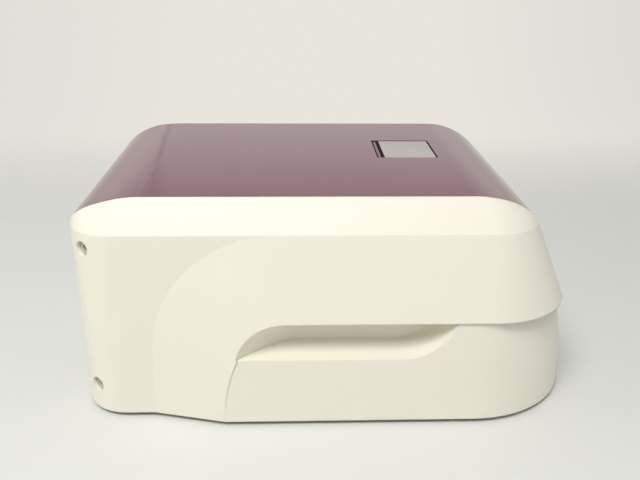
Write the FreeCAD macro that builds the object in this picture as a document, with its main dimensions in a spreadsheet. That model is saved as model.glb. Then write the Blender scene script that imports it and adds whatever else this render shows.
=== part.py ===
import FreeCAD, Part
import math
import os
import re
import types

import Sketcher
from FreeCAD import Placement, Rotation, Vector

# Compact flow cytometer for a laboratory bench.
# Frame: origin under the middle of the body on the bench, +X to the rounded nose, +Z up.
# The near side faces -Y and the far side is its mirror image.

MODEL = FreeCAD.newDocument("FlowCytometer")
SHEET = MODEL.addObject("Spreadsheet::Sheet", "Sizes")
NAMES = []
NODES = []
dim = types.SimpleNamespace()


def sized(rows):
    """Adds driving sizes to the sheet, in millimetres and degrees: name, value, what it is."""
    for alias, value, note in rows:
        NAMES.append(alias)
        SHEET.set("A%d" % len(NAMES), note)
        SHEET.set("B%d" % len(NAMES), str(value))
        SHEET.setAlias("B%d" % len(NAMES), alias)
    MODEL.recompute()
    for alias, value, note in rows:
        setattr(dim, alias, SHEET.get(alias))


def tied(formula):
    """The formula with the sheet's name in front of each size."""
    return re.sub(r"[a-z]\w*",
                  lambda found: "Sizes." + found.group(0) if found.group(0) in NAMES else found.group(0),
                  formula)


def placed(item, at, axis="z", turn=None):
    """Sets an object by three formulas, with its own +Z turned to an axis."""
    turns = {"z": Rotation(), "x": Rotation(Vector(0, 1, 0), 90), "y": Rotation(Vector(1, 0, 0), -90),
             "-z": Rotation(Vector(1, 0, 0), 180), "-x": Rotation(Vector(0, 1, 0), -90),
             "-y": Rotation(Vector(1, 0, 0), 90)}
    item.Placement = Placement(Vector(0, 0, 0), turn or turns[axis])
    for letter, formula in zip("xyz", at):
        item.setExpression("Placement.Base." + letter, tied(formula))
    return item


def block(label, size, at):
    """Box from its low corner, all by formulas."""
    item = MODEL.addObject("Part::Box", label)
    for name, formula in zip(("Length", "Width", "Height"), size):
        item.setExpression(name, tied(formula))
    return placed(item, at)


def rod(label, radius, length, at, axis="z"):
    """Cylinder from the middle of its low end along an axis."""
    item = MODEL.addObject("Part::Cylinder", label)
    item.setExpression("Radius", tied(radius))
    item.setExpression("Height", tied(length))
    return placed(item, at, axis)


def cone(label, low, high, length, at, axis="z"):
    """Cone or taper from its low end along an axis."""
    item = MODEL.addObject("Part::Cone", label)
    item.setExpression("Radius1", tied(low))
    item.setExpression("Radius2", tied(high))
    item.setExpression("Height", tied(length))
    return placed(item, at, axis)


def hexagon(label, across, length, at, axis="z"):
    """Six-sided bar or nut by its size across the flats."""
    item = MODEL.addObject("Part::Prism", label)
    item.Polygon = 6
    item.setExpression("Circumradius", tied("(" + across + ") / sqrt(3)"))
    item.setExpression("Height", tied(length))
    return placed(item, at, axis)


def wire_ring(label, radius, wire, at, axis="z"):
    """Ring of round wire."""
    item = MODEL.addObject("Part::Torus", label)
    item.setExpression("Radius1", tied(radius))
    item.setExpression("Radius2", tied(wire))
    return placed(item, at, axis)


def joined(label, items):
    """Several solids fused into one."""
    item = MODEL.addObject("Part::MultiFuse", label)
    item.Shapes = items
    return item


def carved(label, base, tools):
    """A solid with others taken out of it."""
    item = MODEL.addObject("Part::Cut", label)
    item.Base = base
    item.Tool = tools[0] if len(tools) == 1 else joined(label + "_room", tools)
    return item


def grouped(label, items):
    """Solids that belong together without being fused."""
    item = MODEL.addObject("Part::Compound", label)
    item.Links = items
    return item


def shaped(label, shape):
    """Object with a shape worked out from the sheet's sizes."""
    item = MODEL.addObject("Part::Feature", label)
    item.Shape = shape
    item.Placement = Placement()
    return item


def node(item):
    """Counts an object as one piece of the product."""
    item.Label = item.Name
    NODES.append(item)
    return item


def plane_of(body, role):
    """Origin plane of a body."""
    return [part for part in body.Origin.OriginFeatures if part.Role == role][0]


def sketch_in(body, label, role, offset=None):
    """Sketch on an origin plane of a body, set off along its normal by a formula."""
    sketch = body.newObject("Sketcher::SketchObject", label)
    sketch.AttachmentSupport = [(plane_of(body, role), "")]
    sketch.MapMode = "FlatFace"
    if offset:
        sketch.setExpression("AttachmentOffset.Base.z", tied(offset))
    return sketch


def bound(sketch, kind, first, second, formula):
    """One dimension of a sketch by a formula."""
    index = sketch.addConstraint(Sketcher.Constraint(kind, *first, *second, 1.0))
    sketch.setExpression("Constraints[%d]" % index, tied(formula))


def pinned(sketch, point, place):
    """Binds a sketch point to two formulas measured from the origin."""
    for kind, formula in zip(("DistanceX", "DistanceY"), place):
        if formula != "0" and value_of(formula) < 0:
            bound(sketch, kind, point, (-1, 1), "-(" + formula + ")")
        elif formula == "0":
            axis = -2 if kind == "DistanceX" else -1
            sketch.addConstraint(Sketcher.Constraint("PointOnObject", *point, axis))
        else:
            bound(sketch, kind, (-1, 1), point, formula)


def value_of(formula):
    """Value of a formula, worked out in a spare cell of the sheet."""
    SHEET.set("D1", "=" + formula)
    SHEET.recompute()
    return float(SHEET.get("D1"))


def outline(sketch, places):
    """Closed straight-sided outline with every corner bound to formulas."""
    points = [Vector(value_of(x), value_of(y), 0) for x, y in places]
    first = sketch.GeometryCount
    for index, point in enumerate(points):
        sketch.addGeometry(Part.LineSegment(point, points[(index + 1) % len(points)]), False)
    for index in range(len(points)):
        following = first + (index + 1) % len(points)
        sketch.addConstraint(Sketcher.Constraint("Coincident", first + index, 2, following, 1))
    for index, place in enumerate(places):
        pinned(sketch, (first + index, 1), place)


def oblong(sketch, low, high):
    """Rectangle between two corners."""
    outline(sketch, [low, (high[0], low[1]), high, (low[0], high[1])])


def ring(sketch, centre, radius):
    """Circle with its centre and radius bound to formulas."""
    index = sketch.GeometryCount
    middle = Vector(value_of(centre[0]), value_of(centre[1]), 0)
    sketch.addGeometry(Part.Circle(middle, Vector(0, 0, 1), value_of(radius)), False)
    pinned(sketch, (index, 3), centre)
    constraint = sketch.addConstraint(Sketcher.Constraint("Radius", index, 1.0))
    sketch.setExpression("Constraints[%d]" % constraint, tied(radius))


def raised(body, label, sketch, length, both_ways=False, reverse=False):
    """Pad of a sketch by a formula."""
    pad = body.newObject("PartDesign::Pad", label)
    pad.Profile = sketch
    pad.Midplane = both_ways
    pad.Reversed = reverse
    pad.setExpression("Length", tied(length))
    body.Tip = pad
    return pad


def spun(body, label, sketch):
    """Turned form of a sketch about its upright axis."""
    turned = body.newObject("PartDesign::Revolution", label)
    turned.Profile = sketch
    turned.ReferenceAxis = (sketch, ["V_Axis"])
    turned.Angle = 360
    body.Tip = turned
    return turned


def patterned(body, label, feature, role, count):
    """Copies of a feature evenly round an axis of the body."""
    pattern = body.newObject("PartDesign::PolarPattern", label)
    pattern.Originals = [feature]
    pattern.Axis = (plane_of(body, role), [""])
    pattern.Angle = 360
    pattern.Occurrences = count
    body.Tip = pattern
    return pattern


sized([
    ("body_length", 401.5, "rear foot to nose foot"),
    ("body_height", 181.0, "bench to the top face"),
    ("foot_gap", 4.0, "bench to the lower edge of the covers"),
    ("top_half", 117.5, "middle to the side edge of the flat top"),
    ("facet_half", 132.5, "middle to the lower edge of the slanted facet"),
    ("facet_height", 156.2, "bench to the lower edge of the slanted facet"),
    ("seam_half", 145.3, "middle to the overhanging edge at the seam"),
    ("seam_height", 89.5, "bench to the seam and the overhanging edge"),
    ("lower_half", 143.8, "middle to the lower side face"),
    ("flank_half", 129.5, "middle to the rear flank at its foot"),
    ("rear_corner", 36.0, "radius of the rear corners"),
    ("nose_foot_corner", 91.0, "radius of the nose corners at the foot"),
    ("nose_seam_corner", 86.0, "radius of the lower nose corners at the seam"),
    ("nose_draft", 12.8, "set-in of the lower nose at the seam"),
    ("nose_edge", 12.2, "set-in of the upper nose at the seam"),
    ("nose_corner", 67.0, "radius of the upper nose corners at the seam"),
    ("nose_corner_facet", 39.7, "radius of the nose corners at the facet"),
    ("nose_corner_top", 34.0, "radius of the nose corners at the top"),
    ("nose_lean", 24.9, "lean of the upper nose from upright"),
    ("nose_drop_start", 97.1, "nose foot back to where the top starts to drop"),
    ("nose_drop_length", 58.0, "half length of the ellipse of the nose drop"),
    ("nose_drop_height", 43.7, "half height of the ellipse of the nose drop"),
    ("nose_ledge", 152.0, "bench to the ledge under the nose drop"),
    ("rear_blend_length", 55.7, "length of the drop at the rear"),
    ("rear_blend_height", 28.2, "height of the drop at the rear"),
    ("wall", 3.0, "wall of the moulded covers"),
    ("nose_joint", 230.0, "rear face to where the flank meets the nose form"),
    ("arc_centre", 157.0, "rear face to the centre of the raised arc"),
    ("arc_radius", 97.0, "radius of the raised arc"),
    ("arc_foot", 57.6, "rear face to the foot of the raised arc"),
    ("swell_centre", 163.0, "rear face to the start of the overhang"),
    ("swell_reach", 48.5, "overhang start back to the foot of the swell"),
    ("grip_floor", 59.0, "bench to the lower lip of the finger recess"),
    ("grip_rise", 2.0, "rise of the recess floor to its back"),
    ("grip_depth", 23.0, "depth of the finger recess"),
    ("grip_end", 251.5, "rear face to the centre of the recess end arc"),
    ("grip_draft", 2.0, "set-in of the recess at its nose end"),
    ("part_gap", 0.3, "gap between neighbouring covers"),
    ("lid_thickness", 2.7, "thickness of the glossy top cover"),
    ("nose_panel_half", 58.0, "middle to the joint of the nose cover"),
    ("rear_opening_half", 96.0, "middle to the side of the rear opening"),
    ("rear_opening_low", 14.0, "bench to the foot of the rear opening"),
    ("rear_opening_high", 148.0, "bench to the head of the rear opening"),
    ("rear_recess", 12.0, "depth of the connector bay"),
])

# The moulded housing

REAR = -dim.body_length / 2
NOSE = dim.body_length / 2
LEAN_TANGENT = math.tan(math.radians(dim.nose_lean))
LEAN_NORMAL = math.hypot(1, LEAN_TANGENT)
FACET_TANGENT = (dim.facet_half - dim.top_half) / (dim.body_height - dim.facet_height)
FACET_NORMAL = math.hypot(1, FACET_TANGENT)
FLAT_END = REAR + dim.nose_joint
BELOW = 20.0
BEYOND = 60.0
REAR_DROP_START = 4.0


def nose_end_at(height):
    """End of the leaning upper nose at a height."""
    return NOSE - dim.nose_edge - LEAN_TANGENT * (height - dim.seam_height)


def rounded_end(height, half, flat_x, end_x, radius):
    """Closed outline at a height: square at flat_x and rounded at end_x."""
    way = 1 if end_x > flat_x else -1
    centre_x = end_x - way * radius
    centre_y = half - radius
    diagonal = radius * math.sqrt(0.5)

    def at(x, y):
        return Vector(x, y, height)

    edges = [
        Part.LineSegment(at(flat_x, -half), at(centre_x, -half)),
        Part.Arc(at(centre_x, -half), at(centre_x + way * diagonal, -centre_y - diagonal),
                 at(end_x, -centre_y)),
        Part.LineSegment(at(end_x, -centre_y), at(end_x, centre_y)),
        Part.Arc(at(end_x, centre_y), at(centre_x + way * diagonal, centre_y + diagonal), at(centre_x, half)),
        Part.LineSegment(at(centre_x, half), at(flat_x, half)),
        Part.LineSegment(at(flat_x, half), at(flat_x, -half)),
    ]
    return Part.Wire([edge.toShape() for edge in edges])


def flank_form(inset, foot):
    """Rear part of the body under the facet, widening slightly upwards."""
    radius = dim.rear_corner - inset
    low = rounded_end(foot, dim.flank_half - inset, FLAT_END + BEYOND, REAR + inset, radius)
    high = rounded_end(dim.facet_height, dim.facet_half - inset, FLAT_END + BEYOND, REAR + inset, radius)
    return Part.makeLoft([low, high], True, True)


def crown_form(inset):
    """Part above the facet's lower edge: slanted sides that fade round all four corners."""
    rear_radius = dim.rear_corner - inset
    drawn_in = inset * FACET_NORMAL
    levels = [(dim.facet_height, dim.facet_half, dim.nose_corner_facet),
              (dim.body_height, dim.top_half, dim.nose_corner_top)]
    rear_wires = []
    nose_wires = []
    for height, half, nose_radius in levels:
        nose_end = nose_end_at(height) - inset * LEAN_NORMAL
        rear_wires.append(rounded_end(height, half - drawn_in, FLAT_END + BEYOND, REAR + inset, rear_radius))
        nose_wires.append(rounded_end(height, half - drawn_in, FLAT_END, nose_end, nose_radius - inset))
    return Part.makeLoft(rear_wires, True, True).fuse(Part.makeLoft(nose_wires, True, True))


def upper_nose_form(inset):
    """Nose from the seam to the facet: it leans back and its corners tighten upwards."""
    levels = [(dim.seam_height, dim.seam_half, dim.nose_corner),
              (dim.facet_height, dim.facet_half, dim.nose_corner_facet)]
    wires = []
    for height, half, radius in levels:
        nose_end = nose_end_at(height) - inset * LEAN_NORMAL
        wires.append(rounded_end(height, half - inset, FLAT_END, nose_end, radius - inset))
    return Part.makeLoft(wires, True, True)


def lower_nose_form(inset, foot):
    """Nose below the seam: upright at its foot and curving in towards the seam."""
    rise = dim.seam_height - foot
    wires = []
    for share in (0.0, 0.5, 1.0):
        curve = share * share
        radius = dim.nose_foot_corner + (dim.nose_seam_corner - dim.nose_foot_corner) * curve
        nose_end = NOSE - dim.nose_draft * curve - inset
        wires.append(rounded_end(foot + rise * share, dim.lower_half - inset, FLAT_END, nose_end,
                                 radius - inset))
    return Part.makeLoft(wires, True, False)


def stood_up(wire, y, rise, run):
    """Tips a wire drawn in the upright plane y=0 about its foot and sets it at -y."""
    placed = wire.copy()
    placed.rotate(Vector(0, 0, dim.foot_gap), Vector(1, 0, 0), math.degrees(math.atan2(rise, run)))
    placed.translate(Vector(0, -y, 0))
    return placed


def swell_outer_wire(inset):
    """Rim of the swell on the flank: the raised arc and its foot."""
    slant = math.hypot(dim.facet_height - dim.foot_gap, dim.facet_half - dim.flank_half)
    top = dim.foot_gap + slant - inset
    radius = dim.arc_radius - inset
    arc_x = REAR + dim.arc_centre
    arc_z = top - radius
    diagonal = radius * math.sqrt(0.5)
    foot = [Vector(FLAT_END, 0, dim.foot_gap), Vector(REAR + dim.arc_foot + inset, 0, dim.foot_gap)]
    head = [Vector(FLAT_END, 0, top), Vector(arc_x, 0, top)]
    side = Vector(arc_x - radius, 0, arc_z)
    edges = [
        Part.LineSegment(foot[0], head[0]),
        Part.LineSegment(head[0], head[1]),
        Part.Arc(head[1], Vector(arc_x - diagonal, 0, arc_z + diagonal), side),
        Part.LineSegment(side, foot[1]),
        Part.LineSegment(foot[1], foot[0]),
    ]
    return Part.Wire([edge.toShape() for edge in edges])


def swell_inner_edges(slant):
    """Crease of the swell round the lower face, as a quarter ellipse in two arcs."""
    centre = Vector(REAR + dim.swell_centre, 0, dim.foot_gap)
    top = centre + Vector(0, 0, slant)
    back = centre - Vector(dim.swell_reach, 0, 0)
    ellipse = Part.Ellipse(top, back, centre)
    rim_slant = math.hypot(dim.facet_height - dim.foot_gap, dim.facet_half - dim.flank_half)
    turn = math.acos((rim_slant - dim.arc_radius) / slant)
    upper = Part.ArcOfEllipse(ellipse, 0, turn)
    lower = Part.ArcOfEllipse(ellipse, turn, math.pi / 2)
    foot = Vector(FLAT_END, 0, dim.foot_gap)
    head = foot + Vector(0, 0, slant)
    return [
        Part.LineSegment(foot, head),
        Part.LineSegment(head, top),
        upper,
        lower,
        Part.LineSegment(back, foot),
    ]


def swell_form(inset):
    """The raised arc and the ramp that sweeps out from it to the overhanging edge."""
    slant = math.hypot(dim.seam_height - dim.foot_gap, dim.seam_half - dim.lower_half)
    outer = stood_up(swell_outer_wire(inset), dim.flank_half - inset, dim.facet_half - dim.flank_half,
                     dim.facet_height - dim.foot_gap)
    inner_wire = Part.Wire([edge.toShape() for edge in swell_inner_edges(slant)])
    inner = stood_up(inner_wire, dim.lower_half - inset, dim.seam_half - dim.lower_half,
                     dim.seam_height - dim.foot_gap)
    return Part.makeLoft([outer, inner], True, True)


def lower_face_cut(inset):
    """Space in front of the lower face, inside the crease and under the overhanging edge."""
    edges = swell_inner_edges(dim.seam_height - dim.foot_gap)
    face = Part.Face(Part.Wire([edge.toShape() for edge in edges]))
    face.translate(Vector(0, -dim.lower_half + inset, 0))
    return face.extrude(Vector(0, -BELOW, 0))


def end_profile(inset):
    """Closed outline of the body seen from its side, with the drops at both ends."""
    top = dim.body_height - inset
    rear_centre = Vector(REAR + dim.rear_blend_length, 0, dim.body_height - dim.rear_blend_height)
    rear_side = Vector(REAR + inset, 0, rear_centre.z)
    rear_top = Vector(rear_centre.x, 0, top)
    rear_ellipse = Part.Ellipse(rear_side, rear_top, rear_centre)
    rear_turn = math.radians(REAR_DROP_START)
    rear_drop = Part.ArcOfEllipse(rear_ellipse, rear_turn, math.pi / 2)
    nose_centre = Vector(NOSE - dim.nose_drop_start, 0, dim.body_height - dim.nose_drop_height)
    nose_side = Vector(nose_centre.x + dim.nose_drop_length - inset, 0, nose_centre.z)
    nose_top = Vector(nose_centre.x, 0, top)
    ledge = dim.nose_ledge - inset
    nose_turn = math.asin((ledge - nose_centre.z) / (dim.nose_drop_height - inset))
    nose_drop = Part.ArcOfEllipse(Part.Ellipse(nose_side, nose_top, nose_centre), nose_turn, math.pi / 2)
    rear_end = rear_drop.value(rear_turn)
    nose_start = nose_drop.value(nose_turn)
    corners = [
        Vector(REAR - BEYOND, 0, rear_end.z),
        Vector(REAR - BEYOND, 0, -BELOW),
        Vector(NOSE + BEYOND, 0, -BELOW),
        Vector(NOSE + BEYOND, 0, ledge),
    ]
    edges = [
        rear_drop,
        Part.LineSegment(rear_top, nose_top),
        nose_drop,
        Part.LineSegment(nose_start, corners[3]),
        Part.LineSegment(corners[3], corners[2]),
        Part.LineSegment(corners[2], corners[1]),
        Part.LineSegment(corners[1], corners[0]),
        Part.LineSegment(corners[0], rear_end),
    ]
    return Part.Wire([edge.toShape() for edge in edges])


def profile_form(inset):
    """The end profile carried across the body."""
    face = Part.Face(end_profile(inset))
    face.translate(Vector(0, -dim.body_length, 0))
    return face.extrude(Vector(0, 2 * dim.body_length, 0))


def mirrored(shape):
    """The same shape on the far side."""
    return shape.mirror(Vector(0, 0, 0), Vector(0, 1, 0))


def body_form(inset, foot):
    """Whole outer form of the body, drawn in by inset all over."""
    near_swell = swell_form(inset).cut(lower_face_cut(inset))
    parts = [upper_nose_form(inset), lower_nose_form(inset, foot), crown_form(inset), near_swell,
             mirrored(near_swell)]
    return flank_form(inset, foot).fuse(parts).common(profile_form(inset))


sized([
    ("ledge_thickness", 2.0, "thickness of the ledge under the top cover"),
    ("ledge_width", 8.0, "width of the ledge under the top cover"),
    ("lip", 0.3, "flat of the white lip along the top cover"),
    ("nose_panel_start", 100.0, "middle to the rear end of the nose cover"),
    ("grip_left_draft", 20.0, "set-in of the recess at its rear end"),
    ("grip_left_round", 27.0, "further set-in where the rear end rounds into the back"),
    ("grip_left_shift", 0.7, "overhang start back to the centre of the rear recess arc"),
    ("grip_left_centre", 50.5, "bench to the centre of the rear recess arc"),
    ("grip_left_radius", 38.9, "radius of the rear recess arc"),
    ("grip_round", 5.0, "set-in where the floor and the nose end round into the back"),
    ("grip_roof_drop", 0.1, "seam down to the roof of the finger recess"),
    ("grip_end_centre", 101.0, "bench to the centre of the recess end arc"),
    ("grip_wall", 2.5, "wall of the finger recess"),
    ("screw_head", 5.5, "radius of a cover screw's head"),
    ("screw_head_height", 3.2, "height of a cover screw's head"),
    ("screw_shank", 2.5, "radius of a cover screw's shank"),
    ("screw_room", 0.5, "room round a cover screw's head"),
    ("screw_sink", 3.0, "depth of the head under the cover"),
    ("screw_length", 14.0, "length of a cover screw's shank"),
    ("screw_boss", 9.0, "radius of the screw boss in the cover"),
    ("screw_boss_depth", 11.0, "depth of the screw boss behind the surface"),
    ("screw_high", 143.0, "bench to the upper cover screws"),
    ("screw_low", 26.0, "bench to the lower cover screws"),
    ("screw_turn", 50.0, "turn of the cover screws from the length axis"),
    ("screw_drive", 2.3, "radius of the socket in a cover screw's head"),
    ("screw_drive_depth", 1.9, "depth of the socket in a cover screw's head"),
    ("panel_screw", 1.9, "radius of a rear panel screw"),
    ("lug", 10.0, "side of a screw lug in the connector bay"),
    ("lug_depth", 5.0, "depth of a screw lug"),
    ("fit_play", 0.05, "radial play of pins, shafts and rods"),
])


def drop_sheet():
    """Sheet of the top face and both drops, wider than the body."""
    wire = Part.Wire(end_profile(0).Edges[:3])
    wire.translate(Vector(0, -dim.body_length, 0))
    return wire.extrude(Vector(0, 2 * dim.body_length, 0))


def under_top(margin):
    """Everything straight under the glossy top, drawn in by a margin from its edges."""
    sheet = drop_sheet().common(crown_form(margin / FACET_NORMAL))
    columns = [face.extrude(Vector(0, 0, -2 * BELOW)) for face in sheet.Faces]
    return columns[0].fuse(columns[1:])


def grip_wire(y, rear_in, nose_in, floor_up, grow):
    """Outline of the finger recess at a depth: rear arc, roof, end arc and floor."""
    rear_x = REAR + dim.swell_centre - dim.grip_left_shift + rear_in
    nose_x = REAR + dim.grip_end - nose_in
    roof = dim.seam_height - dim.grip_roof_drop + grow
    low = dim.grip_floor + floor_up - grow
    rear_radius = dim.grip_left_radius + grow
    rear_low = rear_x - math.sqrt(rear_radius ** 2 - (low - dim.grip_left_centre) ** 2)
    rear_turn = math.asin(min(1.0, (roof - dim.grip_left_centre) / rear_radius))
    rear_high = rear_x - rear_radius * math.cos(rear_turn)
    rear_mid = (math.asin((low - dim.grip_left_centre) / rear_radius) + rear_turn) / 2
    end_radius = dim.grip_end_centre - low
    nose_high = nose_x + math.sqrt(end_radius ** 2 - (dim.grip_end_centre - roof) ** 2)
    nose_mid = math.asin((dim.grip_end_centre - roof) / end_radius) / 2 + math.pi / 4

    def at(x, z):
        return Vector(x, y, z)

    middle = at(rear_x - rear_radius * math.cos(rear_mid),
                dim.grip_left_centre + rear_radius * math.sin(rear_mid))
    bend = at(nose_x + end_radius * math.cos(nose_mid), dim.grip_end_centre - end_radius * math.sin(nose_mid))
    edges = [
        Part.Arc(at(rear_low, low), middle, at(rear_high, roof)),
        Part.LineSegment(at(rear_high, roof), at(nose_high, roof)),
        Part.Arc(at(nose_high, roof), bend, at(nose_x, low)),
        Part.LineSegment(at(nose_x, low), at(rear_low, low)),
    ]
    return Part.Wire([edge.toShape() for edge in edges])


def grip_form(grow):
    """Room of the near finger recess, or with grow its walls too: it rounds into its back like an ellipse."""
    mouth = grip_wire(-dim.lower_half - dim.wall, 0, 0, 0, grow)
    depth_wires = []
    for share in (0, 0.3, 0.6, 0.85, 1):
        curl = 1 - math.sqrt(1 - share * share)
        rear_in = dim.grip_left_draft * share + dim.grip_left_round * curl
        nose_in = dim.grip_draft * share + dim.grip_round * curl
        floor_up = dim.grip_rise * share + dim.grip_round * curl
        y = -dim.lower_half + (dim.grip_depth + grow) * share
        depth_wires.append(grip_wire(y, rear_in, nose_in, floor_up, grow))
    return Part.makeLoft([mouth, depth_wires[0]], True, True).fuse(Part.makeLoft(depth_wires, True, False))


def corner_axis(height, depth):
    """Point on a cover screw's axis, at a depth behind the rounded near rear corner."""
    share = (height - dim.foot_gap) / (dim.facet_height - dim.foot_gap)
    half = dim.flank_half + (dim.facet_half - dim.flank_half) * share
    turn = math.radians(dim.screw_turn)
    reach = dim.rear_corner - depth
    return Vector(REAR + dim.rear_corner - reach * math.cos(turn),
                  -(half - dim.rear_corner) - reach * math.sin(turn), height)


def screw_way():
    """Direction in which the near cover screws are driven."""
    turn = math.radians(dim.screw_turn)
    return Vector(math.cos(turn), math.sin(turn), 0)


def corner_round(height, radius, start, length):
    """Cylinder on a near cover screw's axis from a depth inwards."""
    return Part.makeCylinder(radius, length, corner_axis(height, start), screw_way())


SCREW_HEIGHTS = [dim.screw_high, dim.screw_low]
outer = body_form(0, dim.foot_gap)
lid_seat = dim.lid_thickness + dim.part_gap
lid_room = under_top(dim.lip).cut(profile_form(lid_seat))
ledge = profile_form(lid_seat).cut(profile_form(lid_seat + dim.ledge_thickness)).common(outer)
ledge = ledge.cut(under_top(dim.ledge_width))
white = outer.cut(body_form(dim.wall, dim.foot_gap - 1)).cut(lid_room).fuse(ledge)

near_grip_wall = grip_form(dim.grip_wall).common(outer)
near_grip = grip_form(0)


def boss_reach(height):
    """Depth of a screw boss, so that both end in the plane of the corner post."""
    lean = (dim.facet_half - dim.flank_half) / (dim.facet_height - dim.foot_gap)
    out = (height - dim.screw_low) * lean
    return dim.screw_boss_depth + out * math.sin(math.radians(dim.screw_turn))


bosses = [corner_round(height, dim.screw_boss, 0, boss_reach(height)) for height in SCREW_HEIGHTS]
bay_low = Vector(REAR, -dim.rear_opening_half, dim.rear_opening_low)
bay_high = dim.rear_opening_high - dim.rear_opening_low
rim = Part.makeBox(dim.rear_recess, 2 * (dim.rear_opening_half + dim.wall), bay_high + 2 * dim.wall,
                   bay_low - Vector(0, dim.wall, dim.wall))
rim = rim.common(outer)
bay = Part.makeBox(dim.rear_recess + dim.wall, 2 * dim.rear_opening_half, bay_high,
                   bay_low - Vector(dim.wall, 0, 0))
lugs = []
for side in (-1, 1):
    for foot in (dim.rear_opening_low, dim.rear_opening_high - dim.lug):
        near_edge = dim.rear_opening_half - dim.lug if side > 0 else -dim.rear_opening_half
        corner = Vector(REAR + dim.rear_recess - dim.lug_depth, near_edge, foot)
        lug = Part.makeBox(dim.lug_depth, dim.lug, dim.lug, corner)
        bore_at = corner + Vector(-1, dim.lug / 2, dim.lug / 2)
        bore = Part.makeCylinder(dim.panel_screw + dim.fit_play, 2 * dim.lug_depth, bore_at, Vector(1, 0, 0))
        lugs.append(lug.cut(bore))
added = [near_grip_wall, mirrored(near_grip_wall), rim]
taken = [near_grip, mirrored(near_grip), bay]
for boss in bosses:
    added += [boss.common(outer), mirrored(boss.common(outer))]
for height in SCREW_HEIGHTS:
    sunk = dim.screw_sink + dim.screw_head_height
    head_room = corner_round(height, dim.screw_head + dim.screw_room, -dim.screw_sink, sunk + dim.screw_sink)
    shank_room = corner_round(height, dim.screw_shank + dim.screw_room, 0, 2 * dim.screw_boss_depth)
    taken += [head_room, shank_room, mirrored(head_room), mirrored(shank_room)]
white = white.fuse(added).cut(taken).fuse(lugs)

half_gap = dim.part_gap / 2


def side_zone():
    """Space of the near side cover: its half of the body without the nose panel."""
    zone = Part.makeBox(2 * dim.body_length, dim.body_length, 2 * dim.body_height,
                        Vector(-dim.body_length, -dim.body_length - half_gap, -BELOW))
    panel = Part.makeBox(dim.body_length, 2 * (dim.nose_panel_half + half_gap), 2 * dim.body_height,
                         Vector(dim.nose_panel_start - half_gap, -dim.nose_panel_half - half_gap, -BELOW))
    return zone.cut(panel)


panel_zone = Part.makeBox(dim.body_length, 2 * (dim.nose_panel_half - half_gap), 2 * dim.body_height,
                          Vector(dim.nose_panel_start + half_gap, -dim.nose_panel_half + half_gap, -BELOW))
near_zone = side_zone()
node(shaped("side_cover_near", white.common(near_zone)))
node(shaped("side_cover_far", white.common(mirrored(near_zone))))
node(shaped("nose_cover", white.common(panel_zone)))

# The glossy top cover with the hatch opening

sized([
    ("hatch_rear", 241.5, "rear face to the hatch opening"),
    ("hatch_length", 53.0, "hatch opening along the body"),
    ("hatch_side", -11.5, "middle to the near edge of the hatch opening"),
    ("hatch_width", 59.0, "hatch opening across the body"),
    ("hatch_hinge_gap", 5.2, "gap at the hinge side of the hatch plate"),
    ("hatch_gap", 2.2, "gap at the other sides of the hatch plate"),
    ("hatch_thickness", 3.0, "thickness of the hatch plate"),
    ("hatch_sink", 0.8, "hatch plate under the top face"),
    ("hatch_pin_in", 3.0, "edge of the opening to the hatch pin"),
    ("hatch_pin_sink", 2.4, "hatch pin under the top face"),
    ("hatch_pin_radius", 1.0, "radius of the hatch pin"),
    ("hatch_barrel", 1.9, "radius of the hinge barrel"),
    ("hatch_ear", 2.6, "thickness of a hinge ear"),
    ("hatch_ear_gap", 0.4, "gap beside a hinge ear"),
    ("hatch_ear_length", 4.6, "edge of the opening to the face of a hinge ear"),
    ("hatch_ear_depth", 6.0, "hatch pin down to the foot of a hinge ear"),
    ("hatch_ear_foot", 5.0, "height of the foot of a hinge ear"),
    ("hatch_ear_clear", 1.0, "top cover down to the foot of a hinge ear"),
    ("hatch_pin_end", 0.5, "wall beyond each end of the hatch pin"),
    ("hatch_web", 2.9, "thickness of the web between barrel and hatch plate"),
    ("hatch_web_drop", 1.3, "hatch pin axis down to the foot of the web"),
    ("hatch_web_lap", 0.5, "lap of the web in the hatch plate"),
    ("hatch_finger", 6.0, "radius of the finger dimple under the hatch plate"),
    ("hatch_finger_depth", 1.0, "depth of the finger dimple"),
    ("hatch_finger_in", 9.0, "edge of the hatch plate to the finger dimple"),
    ("hatch_rest", 4.0, "width of the ledge under the hatch plate"),
    ("well_wall", 2.0, "wall of the sample well"),
    ("well_foot", 130.0, "bench to the foot of the sample well"),
    ("well_flange", 7.0, "width of the flange round the sample well"),
])

hatch_x = REAR + dim.hatch_rear
opening = Part.makeBox(dim.hatch_length, dim.hatch_width, dim.body_height,
                       Vector(hatch_x, dim.hatch_side, dim.body_height / 2))
lid = under_top(dim.lip + dim.part_gap).cut(profile_form(dim.lid_thickness)).cut(opening)
node(shaped("top_cover", lid))

HATCH_X = "(hatch_rear - body_length / 2)"
LID_UNDER = "body_height - lid_thickness"
PIN_Z = "body_height - hatch_pin_sink"

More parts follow.
